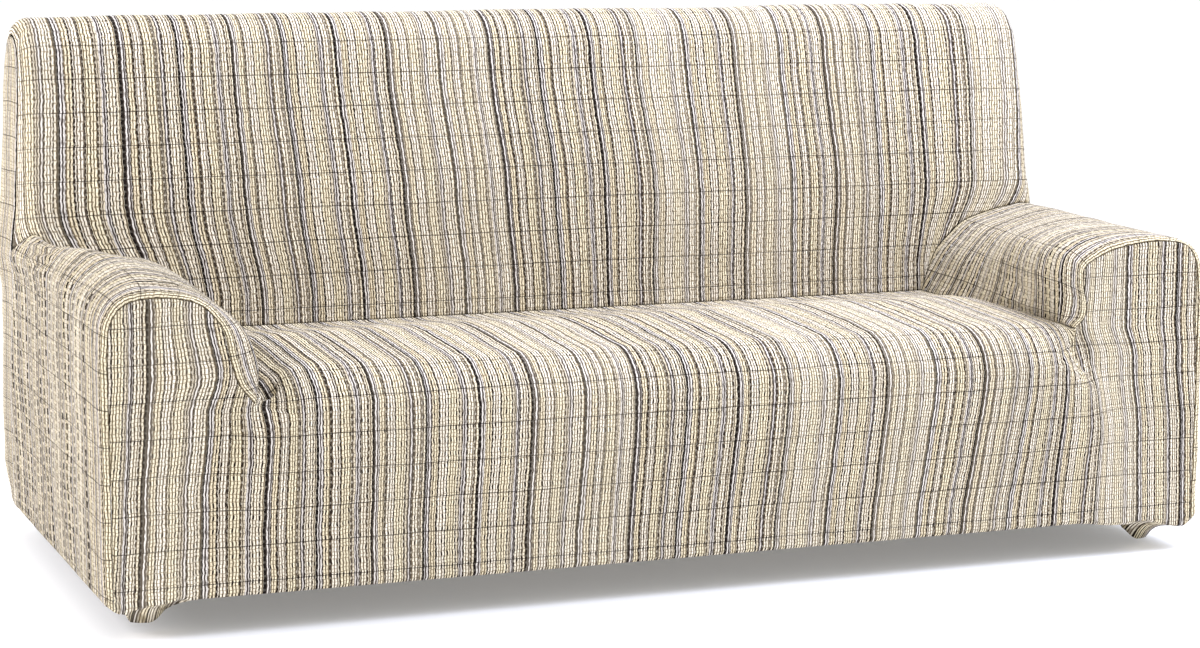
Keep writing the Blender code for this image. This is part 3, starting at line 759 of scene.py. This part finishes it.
def creased(place, creases):
    """How far some creases lift the cloth at a place, or sink it where they are troughs."""
    lift = 0.0
    for crease in creases:
        path = [Vector(point) / 1000 for point in crease.path]
        width = crease.width / 1000
        reach = CREASE_REACH * width
        if (place - path[0]).length > lengths(path)[-1] + reach:
            continue
        nearest, share = reach, 0.5
        for k, (a, b) in enumerate(zip(path, path[1:])):
            t = min(max(intersect_point_line(place, a, b)[1], 0.0), 1.0)
            off = (place - a.lerp(b, t)).length
            if off < nearest:
                nearest, share = off, (k + t) / (len(path) - 1)
        fade = ease(share / CREASE_RISE + CREASE_HEAD) * ease((1 - share) / CREASE_FADE)
        lift += crease.height / 1000 * fade * math.exp(-(nearest / width) ** 2)
    return lift


def panel(name, node, grids, creases, ridge, pucker):
    """One panel of the cover: grids of cloth joined, given their relief and thickness."""
    bm = bmesh.new()
    metres = bm.verts.layers.float_vector.new("metres")
    for grid in grids:
        lay(bm, *grid)
    bmesh.ops.remove_doubles(bm, verts=bm.verts, dist=1e-5)
    bmesh.ops.recalc_face_normals(bm, faces=bm.faces)
    bm.normal_update()
    if sum(vert.normal.dot(vert.co - INSIDE) for vert in bm.verts) < 0:
        bmesh.ops.reverse_faces(bm, faces=bm.faces)
        bm.normal_update()
    border = [vert for vert in bm.verts if vert.is_boundary]
    for vert, co in zip(border, [drawn_back(vert) for vert in border]):
        vert.co = co
    seams = [vert.co.copy() for vert in border if vert.co.z > HEM_HEIGHT + 0.001]
    tree = KDTree(len(seams))
    for index, co in enumerate(seams):
        tree.insert(co, index)
    tree.balance()
    moved = []
    for vert in bm.verts:
        seam_place, index, off = tree.find(vert.co)
        stand = seam_relief(off, seam_place, ridge(seam_place), pucker)
        calm = ease(off / CALM_SEAM) * ease((vert.co.z - HEM_HEIGHT) / CALM_HEM + 0.2)
        stand += unevenness(vert.co) * calm + creased(vert.co, creases) * ease(off / CREASE_START)
        moved.append(vert.co + vert.normal * stand)
    uv = bm.loops.layers.uv.new("cloth")
    for face in bm.faces:
        for loop in face.loops:
            loop[uv].uv = loop.vert[metres].xy
    for vert, co in zip(bm.verts, moved):
        vert.co = co - ORIGIN
    mesh = bpy.data.meshes.new(name)
    bm.to_mesh(mesh)
    bm.free()
    mesh.shade_smooth()
    mesh.materials.append(CLOTH)
    piece = bpy.data.objects.new(name, mesh)
    bpy.context.scene.collection.objects.link(piece)
    thick = piece.modifiers.new("thickness", "SOLIDIFY")
    thick.thickness = CLOTH_THICKNESS
    thick.offset = -1.0
    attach(piece, "root")
    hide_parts(node)
    return piece


def lengths(points):
    """Distances along a run of points, from its first."""
    runs = [0.0]
    for a, b in zip(points, points[1:]):
        runs.append(runs[-1] + (b - a).length)
    return runs


def seat_grid():
    """The skirt between the arm fronts and the seat, from the hem to the crease with the back."""
    def end_columns(arm):
        reach = arm[0].seam_x - SEAT_HALF_WIDTH
        turns = steps(0, math.pi / 2, SEAT_END_COUNT)[1:]
        return [SEAT_HALF_WIDTH + reach * math.sin(turn) for turn in turns]

    middle = steps(-SEAT_HALF_WIDTH, SEAT_HALF_WIDTH, SEAT_COUNT)
    columns = [-x for x in reversed(end_columns(LEFT_ARM))] + middle + end_columns(RIGHT_ARM)
    hems = [-share for share in steps(1, 0, HEM_COUNT)[:-1]]
    rows = hems + SKIRT_SHARES[:-1] + steps(1, 2, SEAT_ROLL_COUNT)[:-1]
    rows += steps(2, 3, SEAT_DEPTH_COUNT, close_end=0.9)

    def place(x, row):
        if row < 0:
            return turn_under(skirt_point(x, 0), FRONT, -row)
        return skirt_point(x, row) if row <= 1 else seat_point(x, row - 1)

    points = [[place(x, row) for x in columns] for row in rows]
    section = lengths([seat_point(x, SEAT_PULL_START) for x in columns])
    centre = section[columns.index(middle[SEAT_COUNT // 2])]
    rise = lengths([place(middle[SEAT_COUNT // 2], max(row, 1)) for row in rows])
    cloth = []
    for row, run, line in zip(rows, rise, points):
        spread = ease((row - 1) / SEAT_SPREAD)
        made = []
        for x, across, point in zip(columns, section, line):
            level = min(max(point.z, 0), SEAT_STRIPES_Z) if row <= 1 else SEAT_STRIPES_Z
            flat_x = mix(x, across - centre, spread) if row > 1 else x
            height = point.z if row <= 1 else skirt_point(x, 1).z
            lines = line_number(FRONT_LINES, FRONT_LEVELS, flat_x, level)
            made.append((lines * REPEAT, height + run, TIGHT_SEAT if row > SEAT_PULL_START else PLAIN))
        cloth.append(made)
    return points, cloth


def arm_front_grid(arm, side):
    """An arm front and the skirt below it, from the seat's joint to the outer corner."""
    inner = steps(0, INNER_END, INNER_COUNT)
    top = steps(INNER_END, TOP_END, TOP_COUNT, close_start=0.5, close_end=0.8)
    outer_count = SKIRT_COUNT + INNER_COUNT
    outer = steps(OUTER_END, TOP_END, outer_count)
    rows = [-share for share in steps(1, 0, HEM_COUNT)[:-1]] + list(range(outer_count + 1))

    def place(column, row):
        level = max(row, 0)
        if level < SKIRT_COUNT:
            near = skirt_point(side * arm[0].seam_x, SKIRT_SHARES[level])
            near.x = arm[0].seam_x
        else:
            near = arm_seam(arm, inner[level - SKIRT_COUNT])
        far = arm_seam(arm, outer[level])
        across = (top[column] - INNER_END) / (TOP_END - INNER_END)
        arch = arm_seam(arm, top[column]) - arm_seam(arm, INNER_END).lerp(arm_seam(arm, TOP_END), across)
        point = near.lerp(far, across) + arch * (level / outer_count) ** 2
        if 0 < column < TOP_COUNT and level < outer_count:
            point.y = skirt_y(point.x, point.z)
        point = drooped(point, arm)
        return drawn_to_sock(turn_under(point, FRONT, -row), arm, point.x, -row) if row < 0 else point

    points = [[place(column, row) for column in range(TOP_COUNT + 1)] for row in rows]
    cloth = []
    for row, line in zip(rows, points):
        base = points[HEM_COUNT] if row < 0 else line
        lines = [line_number(FRONT_LINES, FRONT_LEVELS, side * at.x, at.z) for at in base]
        turned = min(row, 0) * HEM_CLOTH
        cloth.append([(number * REPEAT, at.z + turned, PLAIN) for number, at in zip(lines, base)])
    return points, cloth, side


SEAT_PULL_START = 1.3
SEAT_SPREAD = 0.8
SEAT_STRIPES_Z = 0.36
SEAT_COUNT = 236
SEAT_END_COUNT = 14
SKIRT_COUNT = 44
SEAT_ROLL_COUNT = 20
SEAT_DEPTH_COUNT = 62
HEM_COUNT = 8
INNER_COUNT = 34
TOP_COUNT = 44
SKIRT_SHARES = steps(0, 1, SKIRT_COUNT)


panel("seat_skirt_and_arm_fronts", "front_panel",
      [seat_grid(), arm_front_grid(LEFT_ARM, -1), arm_front_grid(RIGHT_ARM, 1)],
      FRONT_CREASES, ridge=lambda place: PLAIN_RIDGE, pucker=PLAIN_PUCKER)


# ------------------------------------------------------------------------------------------
# The arms: one long panel over each, from the seat crease up the inner wall, over the top and
# down to the hem. A plain seam joins it to the arm front, with its allowance turned outwards
# under the cloth, which gives the ridge beside the seam.

SIDE_SEAM = ((0.552, 0.686), (0.457, 0.726), (0.267, 0.776), (0.064, 0.800))
LOW_CORNER = 0.065
TOP_CORNER = 0.034
TOP_HALF_WIDTH = 0.994
SIDE_FLARE = 0.009
FLARE_Z = 0.552
FLARE_REACH = 0.10
REAR_HEM_HALF_WIDTH = 0.997
REAR_HEM_FADE = 0.090
TAPER_START = 0.58
TAPER_HEIGHT = 0.36
CORNER_START = 0.55
CORNER_HEIGHT = 0.35
BACK_BOW = 0.012
REAR_HEM_Y = 0.925
ROLL_START = -(math.pi / 2 - math.atan2(ROLL_Y - ROLL_RADIUS - CREASE_Y, ROLL_Z - CREASE_Z))
ROLL_END = math.pi / 2 - math.atan2(REAR_HEM_Y - ROLL_Y - ROLL_RADIUS, ROLL_Z - HEM_HEIGHT)


def half_width(z):
    """Half the width of the back at a height, drawn in at the hem and flared at the arms."""
    plain = mix(HALF_WIDTH, TOP_HALF_WIDTH, ease((z - TAPER_START) / TAPER_HEIGHT))
    plain = mix(REAR_HEM_HALF_WIDTH, plain, ease((z - HEM_HEIGHT) / REAR_HEM_FADE))
    return plain + SIDE_FLARE * (1 - ease(abs(z - FLARE_Z) / FLARE_REACH))


def corner(z):
    """Radius of the back's corners, front and rear, at a height."""
    return mix(LOW_CORNER, TOP_CORNER, ease((z - CORNER_START) / CORNER_HEIGHT))


def roll(angle):
    """Place and outward direction (y, z) on the top roll, at an angle from its crest."""
    out = (math.sin(angle), math.cos(angle))
    return (ROLL_Y + ROLL_RADIUS * out[0], ROLL_Z + ROLL_RADIUS * out[1]), out


def face(p):
    """Place and outward direction on the front face, p from the crease (0) to the roll (1)."""
    (top_y, top_z), out = roll(ROLL_START)
    bow = BACK_BOW * math.sin(math.pi * p)
    y = mix(CREASE_Y, top_y, p) + bow * out[0]
    z = mix(CREASE_Z, top_z, p) + bow * out[1]
    return (y, z), out


def rear(q):
    """Place and outward direction on the rear face, q from the hem (0) to the roll (1)."""
    (top_y, top_z), out = roll(ROLL_END)
    return (mix(REAR_HEM_Y, top_y, q), mix(SIDE_BOTTOM, top_z, q)), out


def wrap(profile, x, turn):
    """Turn a place of the back's profile round the end: turn 0 is flat, a right angle the side."""
    (y, z), (out_y, out_z) = profile
    if turn > 0:
        radius = corner(z)
        x = half_width(z) - radius * (1 - math.sin(turn))
        inset = radius * (1 - math.cos(turn))
        y, z = y - out_y * inset, z - out_z * inset
    return Vector((x, y, z))


def side_of(profile):
    """The point at the side of the cover that belongs to a place of the profile."""
    return wrap(profile, 0.0, math.pi / 2)


def face_share(x, z):
    """p and turn of the point on the wrapped front face that has this x and z."""
    radius = corner(z)
    turn = math.asin(min(max((x - half_width(z) + radius) / radius, 0.0), 1.0))
    low_z, top_z, out = face(0)[0][1], face(1)[0][1], face(1)[1]
    p = (z + out[1] * radius * (1 - math.cos(turn)) - low_z) / (top_z - low_z)
    return p, turn


@lru_cache(maxsize=None)
def arm_rear(arm, s):
    """Where the arm panel ends: on the back as far as TOP_END, then on the side seam."""
    row = arm_row(arm, s)
    if s <= TOP_END:
        x = min(row.rear_x, half_width(row.rear_z))
        p, turn = face_share(x, row.rear_z)
        return wrap(face(p), x, turn)
    return Vector((row.rear_x, table(SIDE_SEAM, row.rear_z), row.rear_z))


LEFT_CROWN = 0.024
RIGHT_CROWN = 0.0
CROWN_FADE = 0.45
CROWN_ROWS = (2, 5, 6, 8)


def crown(arm, s, t):
    """The swell of an arm's padding, across its top and from its front (0) to its rear (1)."""
    height = LEFT_CROWN if arm is LEFT_ARM else RIGHT_CROWN
    along = math.sin(math.pi * t) * (1 - ease((t - CROWN_FADE) / 0.5))
    start, full, falls, end = CROWN_ROWS
    return height * along * ease((s - start) / (full - start)) * (1 - ease((s - falls) / (end - falls)))


def arm_point(arm, s, v):
    """The arm panel: v from the front seam (0) round the edge (1) to the rear (2)."""
    if v <= 1:
        return arm_edge(arm, s, v)
    row, end, t = arm_row(arm, s), arm_rear(arm, s), v - 1
    x = mix(row.outline_x, end.x, ease(t))
    z = mix(row.outline_z, end.z, ease(t)) + crown(arm, s, t)
    return Vector((x, mix(row.edge, end.y, t), z))


def side_direction(arm, v):
    """Outward direction, level, of the arm's outer face at its hem."""
    if v >= 1:
        return Vector((1.0, 0.0, 0.0))
    row = arm_row(arm, OUTER_END)
    angle = v * math.pi / 2
    out = Vector((row.edge * math.sin(angle), -(row.outline_x - row.seam_x) * math.cos(angle), 0.0))
    return out.normalized()


SEAM_STRIPE = 0.041
ARCH_RIDGE = 0.0022
ARCH_DEPTH = 0.05
SIDE_PULL_START = 1.1
ARM_GIRTH_COUNT = 216
ARM_EDGE_COUNT = 16
ARM_DEPTH_COUNT = 116


def arm_grid(arm, side):
    """An arm, from the seat crease over the arm to the hem and from its front seam to its rear."""
    girth = steps(0, OUTER_END, ARM_GIRTH_COUNT, close_start=0.8)
    columns = girth + [OUTER_END + share for share in steps(0, 1, HEM_COUNT)[1:]]
    rows = steps(0, 1, ARM_EDGE_COUNT, close_start=0.8)[:-1] + steps(1, 2, ARM_DEPTH_COUNT, close_end=0.9)

    def place(s, v):
        if s <= OUTER_END:
            return drooped(arm_point(arm, s, v), arm)
        return turn_under(drooped(arm_point(arm, OUTER_END, v), arm), side_direction(arm, v), s - OUTER_END)

    points = [[place(s, v) for s in columns] for v in rows]
    depths = [lengths(list(column)) for column in zip(*points)]
    middle = lengths(points[ARM_EDGE_COUNT + ARM_DEPTH_COUNT // 3])
    cloth = []
    for j, v in enumerate(rows):
        hangs = [SLACK_SIDE if s > TOP_END and v > SIDE_PULL_START else SLACK for s in columns]
        cloth.append([(depths[i][j] + SEAM_STRIPE, middle[i], hangs[i]) for i in range(len(columns))])
    return points, cloth, side


LEFT_ARM_CREASES = (
    Crease(-6, 8, ((-978, 440, 584), (-985, 520, 582), (-990, 575, 584), (-1003, 622, 572))),
    Crease(5, 8, ((-985, 440, 582), (-993, 520, 580), (-1001, 585, 575), (-1012, 622, 560))),
    Crease(-6, 8, ((-990, 430, 579), (-1000, 500, 573), (-1009, 560, 565), (-1016, 598, 548))),
    Crease(5, 8, ((-995, 430, 574), (-1005, 480, 567), (-1012, 530, 559), (-1016, 580, 535))),
    Crease(-5, 9, ((-999, 410, 569), (-1008, 460, 560), (-1013, 520, 548), (-1014, 570, 520))),
    Crease(-3, 10, ((-960, 380, 590), (-940, 450, 588), (-930, 520, 580))),
    Crease(-3.5, 7, ((-965, 22, 556), (-930, 26, 572), (-890, 28, 572), (-850, 28, 562))),
    Crease(3, 8, ((-985, 34, 545), (-930, 40, 577), (-870, 42, 570), (-830, 40, 553))),
)
RIGHT_ARM_CREASES = (
    Crease(-3, 10, ((726, 150, 470), (730, 250, 478), (738, 340, 470))),
    Crease(3, 10, ((728, 120, 440), (732, 220, 444), (740, 320, 436))),
    Crease(-3, 9, ((740, 28, 520), (775, 30, 566), (850, 28, 580))),
)


for arm_name, arm_node, arm_table, arm_side, arm_creases in (
        ("left_arm_cloth", "arm_panel_left", LEFT_ARM, -1, LEFT_ARM_CREASES),
        ("right_arm_cloth", "arm_panel_right", RIGHT_ARM, 1, RIGHT_ARM_CREASES)):
    panel(arm_name, arm_node, [arm_grid(arm_table, arm_side)], arm_creases,
          ridge=lambda place: ARCH_RIDGE if place.y < ARCH_DEPTH else PLAIN_RIDGE, pucker=0.0016)


# ------------------------------------------------------------------------------------------
# The inside of the back: one panel from the seat crease up the face and over the top roll to
# the rear seam. It is stretched wide, so its stripes lie further apart than on the skirt, and
# its ends are pulled round the corners and down into the creases beside the arms.

BACK_LEVELS = (0.45, 0.63, 0.85)
BackLine = namedtuple("BackLine", "repeat low middle top")
BACK_LINES = [BackLine(*line) for line in (
    (-10, -0.970, -1.050, -1.040),
    (-9, -0.880, -0.941, -0.931),
    (-8, -0.775, -0.822, -0.819),
    (-7, -0.681, -0.709, -0.712),
    (-6, -0.581, -0.606, -0.612),
    (-5, -0.488, -0.506, -0.519),
    (-4, -0.391, -0.406, -0.419),
    (-3, -0.294, -0.306, -0.322),
    (-2, -0.194, -0.206, -0.222),
    (-1, -0.100, -0.109, -0.125),
    (0, -0.006, -0.012, -0.028),
    (1, 0.088, 0.088, 0.075),
    (2, 0.181, 0.188, 0.169),
    (3, 0.275, 0.281, 0.269),
    (4, 0.369, 0.378, 0.369),
    (5, 0.469, 0.475, 0.466),
    (6, 0.556, 0.569, 0.559),
    (7, 0.652, 0.662, 0.662),
    (8, 0.738, 0.762, 0.759),
    (9, 0.800, 0.866, 0.872),
    (10, 0.870, 0.970, 0.980),
    (11, 0.950, 1.070, 1.080),
)]
REAR_SEAM_ANGLE = math.radians(50)
BACK_COUNT = 232
BACK_ARM_COUNT = 34
FACE_COUNT = 84
ROLL_FRONT_COUNT = 26
ROLL_REAR_COUNT = 20


def inside_back_grid():
    """The front of the back, from the seat and arm creases to the rear seam and the side seams."""
    arm_columns = steps(0, TOP_END, BACK_ARM_COUNT, close_end=0.6)
    crease_x = LEFT_ARM[0].rear_x
    columns = [(LEFT_ARM, s) for s in reversed(arm_columns)]
    columns += [(None, x) for x in steps(-crease_x, crease_x, BACK_COUNT)[1:-1]]
    columns += [(RIGHT_ARM, s) for s in arm_columns]
    rows = steps(0, 1, FACE_COUNT, close_start=0.8)[:-1] + steps(1, 2, ROLL_FRONT_COUNT)[:-1]
    rows += steps(2, 3, ROLL_REAR_COUNT, close_end=0.8)
    face_length = math.hypot(roll(ROLL_START)[0][0] - CREASE_Y, roll(ROLL_START)[0][1] - CREASE_Z)

    def place(column, row):
        arm, value = column
        side = -1 if arm is LEFT_ARM else 1
        start, turn, x = 0.0, 0.0, value
        if arm:
            below = arm_rear(arm, value)
            x = below.x
            start, turn = face_share(x, below.z)
        if row < 1:
            p = mix(start, 1, row)
            profile, run = face(p), p * face_length
        else:
            angle = mix(ROLL_START, 0.0, row - 1) if row < 2 else mix(0.0, REAR_SEAM_ANGLE, row - 2)
            profile, run = roll(angle), face_length + (angle - ROLL_START) * ROLL_RADIUS
        point = below.copy() if arm and row == 0 else wrap(profile, x, turn)
        height = profile[0][1]
        around = half_width(height) - corner(height) * (1 - turn) if turn > 0 else x
        point.x *= side
        level = height if row < 1 else BACK_LEVELS[-1]
        return point, (line_number(BACK_LINES, BACK_LEVELS, around * side, level) * REPEAT, run, TIGHT)

    placed = [[place(column, row) for column in columns] for row in rows]
    return [[one[0] for one in line] for line in placed], [[one[1] for one in line] for line in placed]


INSIDE_BACK_CREASES = (
    Crease(-5, 9, ((-972, 722, 944), (-985, 728, 935), (-990, 722, 915), (-992, 716, 880))),
    Crease(4, 9, ((-958, 712, 944), (-970, 712, 930), (-976, 705, 905))),
    Crease(-5, 10, ((-965, 622, 582), (-975, 630, 615), (-980, 645, 660))),
    Crease(-5, 10, ((-945, 621, 572), (-952, 628, 605), (-962, 640, 650))),
    Crease(4, 10, ((-955, 621, 576), (-962, 628, 612), (-972, 642, 655))),
    Crease(-4, 10, ((-925, 620, 568), (-930, 626, 600), (-938, 638, 640))),
    Crease(-4, 11, ((905, 612, 560), (915, 625, 595), (935, 642, 640))),
    Crease(4, 11, ((925, 616, 566), (938, 628, 600), (955, 642, 640))),
    Crease(-3, 10, ((800, 608, 520), (806, 620, 550), (815, 634, 600))),
)


panel("inside_back_cloth", "inside_back_panel", [inside_back_grid()], INSIDE_BACK_CREASES,
      ridge=lambda place: PLAIN_RIDGE, pucker=PLAIN_PUCKER)


# ------------------------------------------------------------------------------------------
# The outside of the back: one panel from the rear seam down to the hem, wrapped round both
# rear corners to the side seams. It hangs plain, with a turned hem.

REAR_COUNT = 190
REAR_CORNER_COUNT = 9
STRIP_COUNT = 16
LOW_COUNT = 54
REAR_FACE_COUNT = 36
REAR_ROLL_COUNT = 22


OUTSIDE_BACK_CREASES = (
    Crease(-4, 10, ((-988, 760, 935), (-992, 745, 905), (-995, 738, 850))),
    Crease(3, 10, ((-1010, 660, 580), (-1006, 680, 620), (-1002, 700, 680))),
)


def outside_back_grid():
    """The rear of the back and the strips beside it, from the hem to the rear seam."""
    levels = [("low", s) for s in steps(OUTER_END, TOP_END, LOW_COUNT)[:-1]] + [("low", TOP_END)]
    levels += [("face", share) for share in steps(0, 1, REAR_FACE_COUNT)[1:-1]]
    rear_top = len(levels)
    levels += [("roll", share) for share in steps(0, 1, REAR_ROLL_COUNT, close_end=0.8)]
    crest_row = len(levels) - 1
    hems = [-share for share in steps(1, 0, HEM_COUNT)[:-1]]

    @lru_cache(maxsize=None)
    def front_edge(arm, level):
        """The side seam, from the hem up to the crest of the roll."""
        kind, value = levels[level]
        if kind == "low":
            return arm_rear(arm, value)
        if kind == "face":
            below = arm_rear(arm, TOP_END)
            return side_of(face(mix(face_share(below.x, below.z)[0], 1, value)))
        return side_of(roll(mix(ROLL_START, 0.0, value)))

    @lru_cache(maxsize=None)
    def rear_profile(arm, level):
        """The rear face and the start of the roll, from the hem up to the rear seam."""
        if level > rear_top:
            return roll(mix(ROLL_END, REAR_SEAM_ANGLE, levels[level][1]))
        low_z, top_z = front_edge(arm, 0).z, front_edge(arm, rear_top).z
        return rear((front_edge(arm, level).z - low_z) / (top_z - low_z))

    def strip_point(arm, share, level):
        """The side strip, share from the side seam (0) to the rear corner (1)."""
        front, behind = front_edge(arm, level), side_of(rear_profile(arm, level))
        front_top, behind_top = front_edge(arm, crest_row), side_of(rear_profile(arm, crest_row))
        arc = side_of(roll(mix(0.0, REAR_SEAM_ANGLE, share))) - front_top.lerp(behind_top, share)
        return front.lerp(behind, share) + arc * (level / crest_row) ** 4

    turns = [math.pi / 2 * (1 - k / REAR_CORNER_COUNT) for k in range(REAR_CORNER_COUNT)]
    strips = steps(0, 1, STRIP_COUNT, close_start=0.8)[:-1]
    half = [("strip", share) for share in strips] + [("corner", turn) for turn in turns]
    columns = [(kind, value, LEFT_ARM) for kind, value in half]
    columns += [("flat", value, RIGHT_ARM) for value in steps(-1, 1, REAR_COUNT)]
    columns += [(kind, value, RIGHT_ARM) for kind, value in reversed(half)]

    def place(column, row):
        kind, value, arm = column
        level = max(row, 0)
        profile = rear_profile(arm, level)
        height = profile[0][1]
        side = -1 if arm is LEFT_ARM else 1
        if kind == "strip":
            point, out = strip_point(arm, value, level), RIGHT.copy()
        elif kind == "corner":
            point = wrap(profile, 0.0, value)
            out = Vector((math.sin(value), profile[1][0] * math.cos(value), 0.0)).normalized()
        else:
            point = wrap(profile, value * (half_width(height) - corner(height)), 0.0)
            out = Vector((0.0, 1.0, 0.0))
        point.x, out.x = point.x * side, out.x * side
        return turn_under(point, out, -row) if row < 0 else point

    rows = hems + list(range(len(levels)))
    points = [[place(column, row) for column in columns] for row in rows]
    girth = lengths(points[len(hems) + LOW_COUNT])
    rise = lengths([line[len(columns) // 2] for line in points])
    cloth = [[(across, up, PLAIN) for across in girth] for up in rise]
    return points, cloth


panel("outside_back_cloth", "outside_back_panel", [outside_back_grid()], OUTSIDE_BACK_CREASES,
      ridge=lambda place: PLAIN_RIDGE, pucker=PLAIN_PUCKER)


# ------------------------------------------------------------------------------------------
# The studio: a plain white floor that runs on to the horizon and glows a little, a painted light that
# keeps the shadow under the cover pale; a broad soft light from above, a smaller one from the left,
# and a long lens at the height of a standing viewer.

FLOOR_Z = -ORIGIN.z

floor_mesh = bpy.data.meshes.new("studio_floor")
floor_bm = bmesh.new()
bmesh.ops.create_grid(floor_bm, x_segments=1, y_segments=1, size=30.0)
bmesh.ops.translate(floor_bm, verts=floor_bm.verts, vec=(0.0, 0.0, FLOOR_Z))
floor_bm.to_mesh(floor_mesh)
floor_bm.free()
floor = bpy.data.objects.new("studio_floor", floor_mesh)
bpy.context.scene.collection.objects.link(floor)
paint = bpy.data.materials.new("studio_floor_paint")
paint.use_nodes = True
# The floor glows a little as well as reflecting: painted light that lifts the shadow under the cover to a
# pale grey
for socket_name, value in (("Base Color", (0.80, 0.80, 0.80, 1.0)), ("Roughness", 0.8),
                           ("Emission Color", (1.0, 1.0, 1.0, 1.0)), ("Emission Strength", 0.20)):
    paint.node_tree.nodes["Principled BSDF"].inputs[socket_name].default_value = value
floor_mesh.materials.append(paint)

world = bpy.data.worlds.new("studio")
bpy.context.scene.world = world
world.use_nodes = True
world.node_tree.nodes["Background"].inputs["Color"].default_value = (1.0, 1.0, 1.0, 1.0)
world.node_tree.nodes["Background"].inputs["Strength"].default_value = 1.0

Lamp = namedtuple("Lamp", "name place aim width height power colour")
LAMPS = (
    Lamp("overhead", (1.8, -1.0, 2.4), (0.7, 0.0, -0.1), 4.0, 2.4, 216, (0.90, 0.95, 1.15)),
    Lamp("left", (-4.3, 0.4, 1.6), (0.0, 0.0, -0.4), 2.4, 2.4, 168, (1.0, 0.98, 1.03)),
)
for lamp in LAMPS:
    light = bpy.data.lights.new(lamp.name, "AREA")
    light.shape = "RECTANGLE"
    light.size, light.size_y = lamp.width, lamp.height
    light.energy = lamp.power
    light.color = lamp.colour
    holder = bpy.data.objects.new(lamp.name, light)
    holder.location = lamp.place
    holder.rotation_euler = (Vector(lamp.aim) - Vector(lamp.place)).to_track_quat("-Z", "Y").to_euler()
    bpy.context.scene.collection.objects.link(holder)

VIEWER = Vector((-1.9442, -4.6058, 1.2474)) - ORIGIN
YAW, PITCH, ROLL = 0.3688, 0.1547, 0.0043
ahead = Vector((math.sin(YAW) * math.cos(PITCH), math.cos(YAW) * math.cos(PITCH), -math.sin(PITCH)))
level = Vector((math.cos(YAW), -math.sin(YAW), 0.0))
upright = level.cross(ahead)
right_way = level * math.cos(ROLL) + upright * math.sin(ROLL)
up_way = upright * math.cos(ROLL) - level * math.sin(ROLL)
lens = bpy.data.cameras.new("camera")
lens.lens, lens.sensor_width, lens.sensor_fit = 90.0, 36.0, "HORIZONTAL"
lens.clip_end = 100.0
camera = bpy.data.objects.new("camera", lens)
turned = Matrix((right_way, up_way, -ahead)).transposed().to_4x4()
camera.matrix_world = Matrix.Translation(VIEWER) @ turned
bpy.context.scene.collection.objects.link(camera)
bpy.context.scene.camera = camera
bpy.context.scene.view_settings.view_transform = "Standard"
